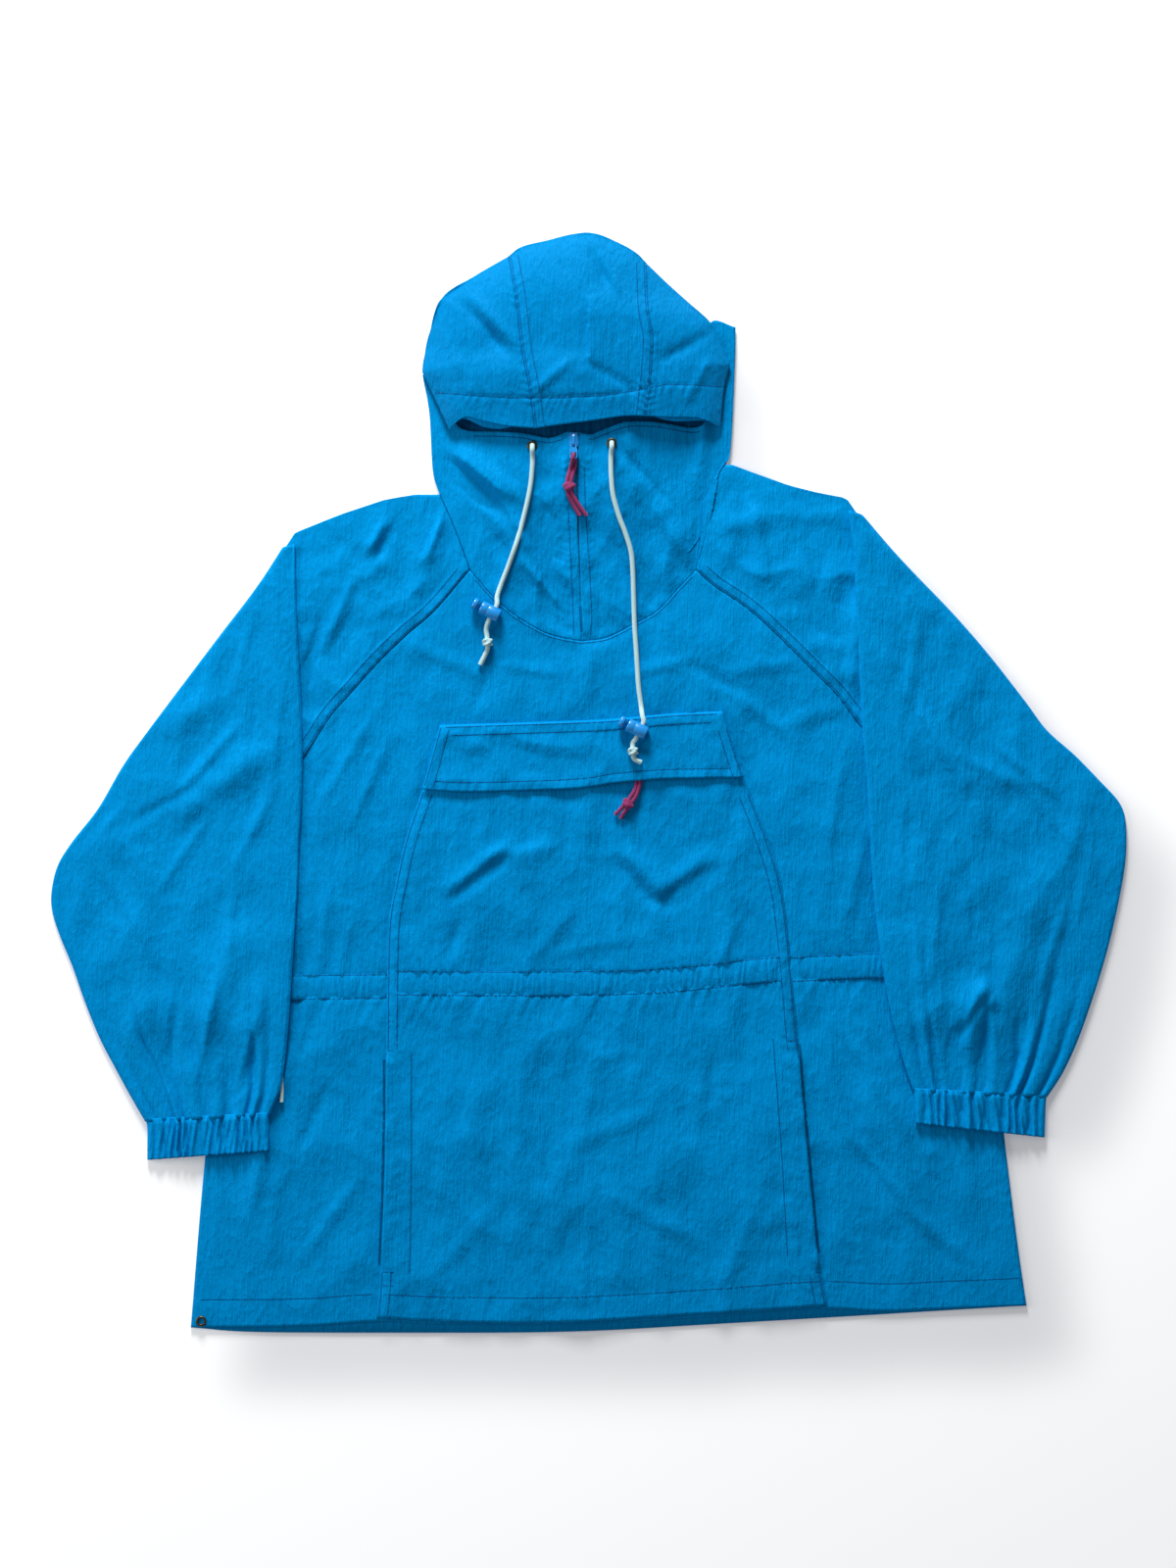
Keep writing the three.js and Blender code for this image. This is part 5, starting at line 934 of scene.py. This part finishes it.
# Hood and collar
hoodPlans = {  # top, foot, left and right edges, then points across and down
    "hood_gusset": (crown, brimCentre, gussetSeamLeft, gussetSeamRight, 90, 110),
    "hood_side_left": (crownLeft, brimLeft, brimSideLeft, gussetSeamLeft, 70, 90),
    "hood_side_right": (crownRight, brimRight, gussetSeamRight, brimSideRight, 60, 90),
}
for name, (top, foot, left, right, across, down) in hoodPlans.items():
    plan = patch(evenly(top, across), evenly(foot, across), evenly(left, down), evenly(right, down))
    layPanel(name, plan, hoodHeight, hoodNylonPaintedShade)
for name, top, foot, left, right in (
    ("collar_left", collarTopLeft, (neckUpLeft, neckLeft), hoodSideLeft, zipLineLeft),
    ("collar_right", collarTopRight, (neckRight, neckUpRight), zipLineRight, hoodSideRight)):
    plan = patch(evenly(top, 110), resample(joinedLine(*foot), 110), evenly(left, 120), evenly(right, 120))
    layPanel(name, plan, collarHeight)
print("hood ready")


# Sleeves
def edgeAt(tables, y):
    line = np.vstack(tables)
    order = np.argsort(line[:, 1])
    return np.interp(y, line[order, 1], line[order, 0])


sleeve = {"rows": 170, "columns": 110, "puff": 1.6, "stack": 3.5, "waves": 7, "flat": (0.46, 0.56)}
cuff = {"rows": 24, "columns": 150, "puff": 1.2, "stack": 4.6, "waves": 12, "pleat": 2.9, "flat": (0.3, 0.04)}
cordUnderSleeve = [(-269, -230, 84, 200, 17, 3.9)]


def tubeSurface(table, side, make, detail):
    rows, upperCount, puffed, stack = (make[key] for key in ("rows", "columns", "puff", "stack"))
    sign = np.sign(table[0, 0])
    outer = evenly(table[:, :2], rows)
    inner = evenly(table[:, 2:], rows)
    edge = edgeAt(side, (outer[:, 1] + inner[:, 1]) / 2)[:, None]
    width = np.linalg.norm(inner - outer, axis=1)[:, None]
    along = np.linspace(0, 1, rows)[:, None]

    def place(s):
        return outer[:, None] * (1 - s[..., None]) + inner[:, None] * s[..., None]

    def support(x, y):
        base = bodyBase(x, y)[0]
        onCasing = smooth(y, -232, -205) * (1 - smooth(y, -140, -112)) * 2.4
        return base + 0.9 + np.maximum(onCasing, relief(cordUnderSleeve, x, y))

    def low(s):
        p = place(s)
        over = smooth((p[..., 0] - edge) * -sign, -24, -6)
        return over * support(p[..., 0], p[..., 1])

    def high(s):
        p = place(s)
        x, y = p[..., 0], p[..., 1]
        over = smooth((x - edge) * -sign, -55, 25)
        full = puffed * np.sqrt(np.maximum(0, np.sin(np.pi * s)))
        damp = np.minimum(1, np.maximum(6 * s * (1 - s), 0) ** 0.7)
        return np.maximum(over * support(x, y) + full + detail(x, y, s, along) * damp, low(s) - 0.6) + stack

    ends = []
    for end in (0.0, 1.0):
        s = np.full((rows, 1), end)
        top, bottom = high(s), low(s)
        ends.append(((top + bottom) / 2, np.maximum((top - bottom) / 2, 1.32)))
    share = np.linspace(0, 1, upperCount)[None, :]
    start, stop = ends[0][1] / width, 1 - ends[1][1] / width
    s = start + (stop - start) * share
    p = place(s)
    upper = np.dstack([p[..., 0], p[..., 1], high(s)])
    share = np.linspace(1, 0, upperCount // 3)[None, :]
    s = start + (stop - start) * share
    p = place(s)
    lower = np.dstack([p[..., 0], p[..., 1], low(s)])
    arcs = []
    for end in (1, 0):
        middle, half = ends[end]
        turns = np.radians(np.linspace(72, -72, 8) if end else np.linspace(-72, 72, 8))[None, :]
        inward = half * (1 - np.cos(turns)) / width
        p = place(1 - inward if end else inward)
        arcs.append(np.dstack([p[..., 0], p[..., 1], middle + half * np.sin(turns)]))
    loop = np.concatenate([upper, arcs[0], lower, arcs[1]], axis=1)
    return np.concatenate([loop, loop[:, :1]], axis=1)


def sleeveDetail(seed, waves):
    def detail(x, y, s, along):
        folds = relief(sleeveFolds + sleeveCreases, x, y)
        fine = wrinkles["fine"] * (creased(x, y, 55, seed, 1.8) * 2.4 + crumple(x, y, 20, seed + 2, 1.9))
        grown = smooth(along + 0.05 * np.sin(s * 19 + seed), 0.76, 1.0)
        phase = s * waves * 2 * np.pi + 1.6 * np.sin(s * 9 + seed) + 0.8 * np.sin(s * 23)
        wave = 1.9 * np.abs(np.cos(phase / 2)) - 1.1
        return (
            1.6 * folds + fine + streaks(x, y, seed) + crisp(x, y, seed + 1)
            + wrinkles["gather"] * grown * wave * (0.7 + 0.3 * np.sin(s * 31)))

    return detail


def cuffDetail(waves, seed):
    def detail(x, y, s, along):
        phase = s * waves * 2 * np.pi + 2.6 * np.sin(s * 9 + seed) + 1.3 * np.sin(s * 23)
        wave = 2 * np.abs(np.cos(phase / 2 + 0.35 * np.sin(along * 5 + s * 40))) - 1.2
        lip = 0.8 * np.cos(phase * 2) * smooth(along, 0.75, 1)
        return (
            cuff["pleat"] * wave * (0.75 + 0.25 * np.sin(s * 37 + seed)) + 0.6 * np.sin(s * 140 + along * 9)
            + lip - 2.2 * (1 - smooth(along, 0, 0.14)))

    return detail


def ringPiece(name, surface):
    mesh = gridMesh(name, surface, closed=True)
    piece = placed(name, mesh, nylon, "garment")
    bm = bmesh.new()
    bm.from_mesh(mesh)
    bmesh.ops.recalc_face_normals(bm, faces=bm.faces)
    highest = max(bm.faces, key=lambda f: f.calc_center_median().z)
    if highest.normal.z < 0:
        bmesh.ops.reverse_faces(bm, faces=bm.faces)
    bm.to_mesh(mesh)
    bm.free()
    solidified(piece)
    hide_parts(name)
    return piece


for side, table, under, cuffTable in (
    ("left", sleeveLeft, [shoulderFoldLeft, sideLeft], cuffLeft),
    ("right", sleeveRight, [shoulderFoldRight, sideRight], cuffRight)):
    seed = 61 if side == "left" else 74
    surface = tubeSurface(table, under, sleeve, sleeveDetail(seed, sleeve["waves"]))
    castPlans.append(surface[:, : sleeve["columns"]])
    ringPiece(f"sleeve_{side}", surface)
    surface = tubeSurface(cuffTable, under[1:], cuff, cuffDetail(cuff["waves"], seed))
    ringPiece(f"cuff_{side}", surface)

shoulder = {"rows": 130, "columns": 80, "under": 20, "arc": 8}
besideHood = spline(hoodSideRight)[spline(hoodSideRight)[:, 1] < 276]
shoulderEdges = {  # the seam and the fold of each
    "left": (np.vstack([spline(neckUpLeft), spline(raglanLeft)[::-1][1:-12]]),
        np.vstack([[(-148, 250.5)], shoulderTopLeft[2:], shoulderFoldLeft[1:]])),
    "right": (np.vstack([besideHood, spline(neckUpRight)[::-1][1:], spline(raglanRight)[1:-20]]),
        np.vstack([[(122, 277)], shoulderTopRight[2:], shoulderFoldRight[1:]])),
}
for side, (seam, fold) in shoulderEdges.items():
    line = resample(seam, shoulder["rows"])
    y = line[:, 1:2]
    end = edgeAt([fold], line[:, 1])[:, None]
    sign = np.sign(end - line[:, :1])
    start = line[:, :1] + sign * 0.3
    half = bodyBase(end - sign, y)[0] / 2
    x = start + (end - sign * half - start) * np.linspace(0, 1, shoulder["columns"])[None, :]
    level = np.repeat(y, shoulder["columns"], axis=1)
    upper = np.dstack([x, level, shoulderHeight(x, level)])
    turns = np.radians(np.linspace(72, -72, shoulder["arc"]))[None, :]
    arc = np.dstack([end - sign * half * (1 - np.cos(turns)), np.repeat(y, shoulder["arc"], axis=1),
        half + half * np.sin(turns)])
    x = start + (end - sign * half - start) * np.linspace(1, 0, shoulder["under"])[None, :]
    lower = np.dstack([x, np.repeat(y, shoulder["under"], axis=1), np.full(x.shape, 0.05)])
    surface = np.concatenate([upper, arc, lower], axis=1)
    mesh = facingUp(gridMesh(f"shoulder_{side}", surface), 10)
    piece = placed(f"shoulder_{side}", mesh, nylon, "garment")
    solidified(piece)
    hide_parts(f"shoulder_{side}")
print("sleeves ready")


# Sewing: thread laid on the cloth in runs of separate stitches
stitches = {"pitch": 3.6, "length": 2.5, "width": 0.42, "height": 0.42}


def offsetLine(line, distance):
    run = np.gradient(line, axis=0)
    run /= np.linalg.norm(run, axis=1)[:, None]
    return line + np.stack([-run[:, 1], run[:, 0]], axis=1) * distance


def surfaceUnder(pieces):
    trees = []
    for name in pieces:
        mesh = pieceMeshes[name]
        trees.append(BVHTree.FromPolygons([v.co for v in mesh.vertices], [p.vertices for p in mesh.polygons]))

    def heights(points):
        found = []
        for x, y in points:
            hits = [tree.ray_cast(Vector((x * mm, y * mm, 0.2)), Vector((0, 0, -1)))[0] for tree in trees]
            hits = [hit.z / mm for hit in hits if hit is not None]
            found.append(max(hits) if hits else np.nan)
        return np.array(found)

    return heights


# Painted shade: a dark line laid on the cloth under each row of stitches and along each seam, for the shade
# where the cloth is pressed in
def shadeStrip(name, runs, width=1.0, material=None):
    bm = bmesh.new()
    for line, pieces in runs:
        total = np.linalg.norm(np.diff(line, axis=0), axis=1).sum()
        points = resample(line, max(4, int(total / 2.2)))
        run = np.gradient(points, axis=0)
        run /= np.linalg.norm(run, axis=1)[:, None]
        across = np.stack([-run[:, 1], run[:, 0]], axis=1) * width / 2
        heights = surfaceUnder(pieces)
        rows = []
        for edge, lift in ((-1, 0.03), (0, 0.2), (1, 0.03)):
            at = points + edge * across
            rows.append(np.column_stack([at, heights(at) + lift]))
        before = None
        for trio in zip(*rows):
            if any(np.isnan(p[2]) for p in trio):
                before = None
                continue
            made = [bm.verts.new(p * mm) for p in trio]
            if before:
                for k in (0, 1):
                    bm.faces.new((before[k], before[k + 1], made[k + 1], made[k]))
            before = made
    bmesh.ops.recalc_face_normals(bm, faces=bm.faces)
    mesh = facingUp(meshOf(bm, name))
    return placed(name, mesh, material or paintedSeamShade, "garment")


def sewn(name, runs):
    # a strip of painted shade under the stitches
    shadeStrip(f"painted_shade_{name}", runs)
    bm = bmesh.new()
    for line, pieces in runs:
        total = np.linalg.norm(np.diff(line, axis=0), axis=1).sum()
        count = max(2, int(total / stitches["pitch"]))
        points = resample(line, count * 2 + 1)
        z = surfaceUnder(pieces)(points)
        for i in range(1, count * 2, 2):
            if np.isnan(z[i - 1 : i + 2]).any():
                continue
            a, b = points[i - 1], points[i + 1]
            run = (b - a) / max(np.linalg.norm(b - a), 1e-6)
            across = np.array([-run[1], run[0]]) * stitches["width"] / 2
            reach = run * stitches["length"] / 2
            rise = (z[i + 1] - z[i - 1]) * 0.35
            m = points[i]
            corners = [(*(m - reach), z[i] - rise + 0.02), (*(m + across), z[i] + 0.1),
                (*(m + reach), z[i] + rise + 0.02), (*(m - across), z[i] + 0.1),
                (*m, z[i] + stitches["height"]), (*m, z[i] - 0.15)]
            v = [bm.verts.new([c * mm for c in corner]) for corner in corners]
            for p, q in ((0, 1), (1, 2), (2, 3), (3, 0)):
                bm.faces.new((v[p], v[q], v[4]))
                bm.faces.new((v[q], v[p], v[5]))
    bmesh.ops.recalc_face_normals(bm, faces=bm.faces)
    return placed(name, meshOf(bm, name), thread, "garment")


def span(table, low, high, axis=1):
    line = spline(table)
    return line[(line[:, axis] > low) & (line[:, axis] < high)]


raglans = ["shoulder_left", "shoulder_right"]
sewn("stitches_raglan", [(offsetLine(span(table, low, 183), d), raglans)
    for table, low in ((raglanLeft, -20), (raglanRight, -12)) for d in (1.8, 8.4)])
pocketRows = [(offsetLine(span(table, low, high), side * d), ["pocket_panel"])
    for table, side in ((pocketLeft, 1), (pocketRight, -1)) for d in (1.8, 9.5)
    for low, high in ((-462, -424), (-234, -8))]
facings = [px([(419.6, 1075), (419.8, 1180), (418, 1300)]), px([(788.8, 1060), (797, 1170), (803.5, 1282)])]
sewn("stitches_pocket", pocketRows + [(line, ["pocket_panel"]) for line in facings])
bartacks = [(392, 1042, 402, 1072), (391, 1298, 402, 1312), (804, 1030, 812, 1062), (833, 1284, 842, 1298)]
sewn("stitches_bartack", [(px([(x0, y0), (x1, y0)]), ["pocket_panel"]) for x0, y0, x1, y1 in bartacks]
    + [(px([(x0, y1), (x1, y1)]), ["pocket_panel"]) for x0, y0, x1, y1 in bartacks])
flapSides = [(offsetLine(span(table, -3, 48), side * d), ["pocket_flap"])
    for table, side in ((pocketLeft, 1), (pocketRight, -1)) for d in (1.8, 9)]
flapRows = [offsetLine(span(flapHem, -134, 126, 0), 8), offsetLine(span(pocketTop, -125, 112, 0), -2.4),
    offsetLine(span(pocketTop, -119, 107, 0), -9.6)]
sewn("stitches_flap", flapSides + [(line, ["pocket_flap"]) for line in flapRows])
hemStitch = spline(frontHem) + np.array([0, 24.0])


def between(line, low, high):
    return line[(line[:, 0] > low) & (line[:, 0] < high)]


sewn("stitches_hem", [(between(hemStitch, -341, -186), ["front_panel"]),
    (between(hemStitch, 207, 377), ["front_panel"]), (between(hemStitch, -178, 202), ["pocket_panel"])])
casingRows = (("waist_casing_left", casingLeft, "front_panel"),
    ("waist_casing_centre", casingCentre, "pocket_panel"), ("waist_casing_right", casingRight, "front_panel"))
sewn("stitches_casing", [(spline(table) - np.array([0, drop]), [name, under])
    for name, table, under in casingRows for drop in (0.8, 21.2)])
hoodPieces = ["hood_gusset", "hood_side_left", "hood_side_right"]
sewn("stitches_hood", [(offsetLine(spline(gussetSeamLeft), d), hoodPieces) for d in (1.8, 8.4)]
    + [(offsetLine(spline(gussetSeamRight), -d), hoodPieces) for d in (1.8, 8.4)] + [(brimStitch, hoodPieces)])
collarPieces = ["collar_left", "collar_right"]
collarRim = [offsetLine(between(spline(collarTopLeft), -100, -20), -4),
    offsetLine(between(spline(collarTopRight), 0, 96), -4)]
sewn("stitches_collar", [(line, collarPieces)
    for line in (spline(placketLeft), spline(placketRight), *collarRim)]
    + [(offsetLine(joinedLine(neckLeft, neckRight), -2.2)[8:-8], ["front_panel"])])
# Painted shade along the seams
shadeStrip("seam_lines", [
    (spline(raglanLeft)[6:-4], ["front_panel", "shoulder_left"]),
    (spline(raglanRight)[4:-6], ["front_panel", "shoulder_right"]),
    (joinedLine(neckUpLeft, neckLeft, neckRight),
        ["front_panel", "shoulder_left", "shoulder_right", *collarPieces]),
    (spline(neckUpRight), ["shoulder_right", *collarPieces]),
    (spline(gussetSeamLeft), hoodPieces), (spline(gussetSeamRight), hoodPieces)], 1.1)
print("sewing ready")

# Eyelets: a rolled brass ring with its tube
eyeletRing = [(0, 2.6), (0, 4.4), (0.35, 4.6), (0.8, 4.3), (1.15, 3.7), (1.2, 3.2), (0.9, 2.7), (0, 2.6)]
eyelets = {"eyelet_left": (-48.6, 291.4, 14.615), "eyelet_right": (20.1, 293.6, 15.818),
    "eyelet_hem": (-336.3, -467.4, 3.72)}
for name, spot in eyelets.items():
    turnedMesh(name, eyeletRing, spot, (0, 0, 1), brass)

# The brim's turned-in facing, seen at both ends of the slit
def facingPiece(name, edge, low, high, depth):
    line = between(spline(edge), low, high)
    line = resample(line, 40)
    share = np.linspace(0, 1, 40)
    drop = depth * np.sin(np.pi * share) ** 0.8
    rows = []
    for k in range(5):
        row = line - np.column_stack([np.zeros(40), drop * k / 4 - 1.2])
        rows.append(np.column_stack([row, hoodHeight(line[:, 0], line[:, 1]) - 1.2 - 0.5 * k]))
    mesh = facingUp(gridMesh(name, np.array(rows)))
    solidified(placed(name, mesh, nylon, "garment"))


facingPiece("brim_facing_left", brimLeft, -112, -64, 6)
facingPiece("brim_facing_right", brimRight, 54, 106, 4.5)
# Painted shade: a dark strip in the open foot of the neck zip
shadeStrip("zip_foot", [(np.array([(-7.2, 153), (-6.6, 142), (-6.0, 131)]), ["collar_left", "collar_right"])], 2.4,
    shadowNylon)

# Painted shade: a dark strip in the open edge of the hand-warmer pockets, where their inside lies in shadow
mouths = [(offsetLine(span(pocketLeft, -420, -238), -0.9), ["front_panel"]),
    (offsetLine(span(pocketRight, -410, -226), 0.9), ["front_panel"])]
shadeStrip("pocket_mouths", mouths, 3.2, shadowNylon)

# Coil teeth of the neck zip, 1.6 mm apart, below the slider
pieceMeshes["neck_zip"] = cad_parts["neck_zip"].data
zipCentre = resample((spline(zipLineLeft) + spline(zipLineRight)) / 2, 118)[12:-10]
zipHeights = surfaceUnder(["neck_zip"])(zipCentre)
bm = bmesh.new()
for k, ((x, y), z) in enumerate(zip(zipCentre, zipHeights)):
    if not np.isnan(z):
        side = 0.7 if k % 2 else -0.7
        tooth = bmesh.ops.create_cube(bm, size=1,
            matrix=Matrix.Translation((x + side, y, z + 0.3)) @ Matrix.Diagonal((2.4, 0.8, 0.8, 1)))
        bmesh.ops.bevel(bm, geom=list({edge for v in tooth["verts"] for edge in v.link_edges}), offset=0.2,
            affect="EDGES", segments=1, profile=0.5, material=-1)
bmesh.ops.scale(bm, verts=bm.verts, vec=(mm, mm, mm))
placed("zip_teeth", meshOf(bm, "zip_teeth"), plastic, "garment", False)

# Imported pieces whose shape is right keep it
# Painted shade: hood_back, neck_zip and pocket_zip take the dark nylon in shadow, as they lie in shade
for name, material in (("hood_back", shadowNylon), ("neck_zip", shadowNylon), ("pocket_zip", shadowNylon),
    ("zip_slider", plastic), ("zip_tab", plastic), ("pocket_slider", plastic)):
    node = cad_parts[name]
    node.data.materials.clear()
    node.data.materials.append(material)

# Floor: a pale sheet with the photograph's soft shadow to the right and below
def backdropShade(x, y):
    cell = 8
    mask = np.zeros((260, 220))
    for plan in castPlans:
        columns = ((plan[..., 0].ravel() + 880) / cell).astype(int)
        rows = ((plan[..., 1].ravel() + 1040) / cell).astype(int)
        mask[np.clip(rows, 0, 259), np.clip(columns, 0, 219)] = 1
    mask = np.roll(np.roll(mask, 5, axis=1), -6, axis=0)
    for _ in range(14):
        mask = (mask + np.roll(mask, 1, 0) + np.roll(mask, -1, 0) + np.roll(mask, 1, 1)
            + np.roll(mask, -1, 1)) / 5
    return mask[np.clip(((y + 1040) / cell).astype(int), 0, 259),
        np.clip(((x + 880) / cell).astype(int), 0, 219)]


bm = bmesh.new()
bmesh.ops.create_grid(bm, x_segments=219, y_segments=259, size=0.5)
bm.verts.ensure_lookup_table()
spots = np.array([v.co for v in bm.verts])[:, :2] * np.array([1760, 2080])
shade = backdropShade(spots[:, 0], spots[:, 1])
for vertex, spot in zip(bm.verts, spots):
    vertex.co = (spot[0] * mm, spot[1] * mm, 0)
floorMesh = meshOf(bm, "floor")
floorMesh.attributes.new("shade", "FLOAT", "POINT").data.foreach_set("value", shade.astype(float))
floorMaterial, tree, shader, place = newMaterial("paleBackdrop")
shadeNode = addNode(tree, "ShaderNodeAttribute", attribute_name="shade")
tone = addNode(tree, "ShaderNodeMix",
    {0: shadeNode.outputs["Fac"], 6: srgb(colours["floor"]), 7: srgb(colours["floorShade"])}, data_type="RGBA")
tree.links.new(tone.outputs[2], shader.inputs["Base Color"])
tree.links.new(tone.outputs[2], shader.inputs["Emission Color"])
shader.inputs["Roughness"].default_value = 0.9
shader.inputs["Specular IOR Level"].default_value = 0.0
shader.inputs["Emission Strength"].default_value = 0.3
bm = bmesh.new()
bmesh.ops.create_grid(bm, x_segments=1, y_segments=1, size=6)
for name, mesh, depth in (("floor", floorMesh, 0.0004), ("outerFloor", meshOf(bm, "outerFloor"), 0.0012)):
    mesh.materials.append(floorMaterial)
    sheet = bpy.data.objects.new(name, mesh)
    bpy.context.scene.collection.objects.link(sheet)
    sheet.location.z = -depth


for name in ("key", "fill"):
    make = studio[name]
    light = bpy.data.objects.new(f"{name}Light", bpy.data.lights.new(f"{name}Light", "AREA"))
    bpy.context.scene.collection.objects.link(light)
    light.location = make["place"]
    light.rotation_euler = (-Vector(make["place"])).to_track_quat("-Z", "Y").to_euler()
    light.data.size = make["size"]
    light.data.energy = make["power"]
world = bpy.data.worlds.new("studio")
world.use_nodes = True
world.node_tree.nodes["Background"].inputs["Color"].default_value = (0.9, 0.94, 1.0, 1)
world.node_tree.nodes["Background"].inputs["Strength"].default_value = studio["world"]
bpy.context.scene.world = world
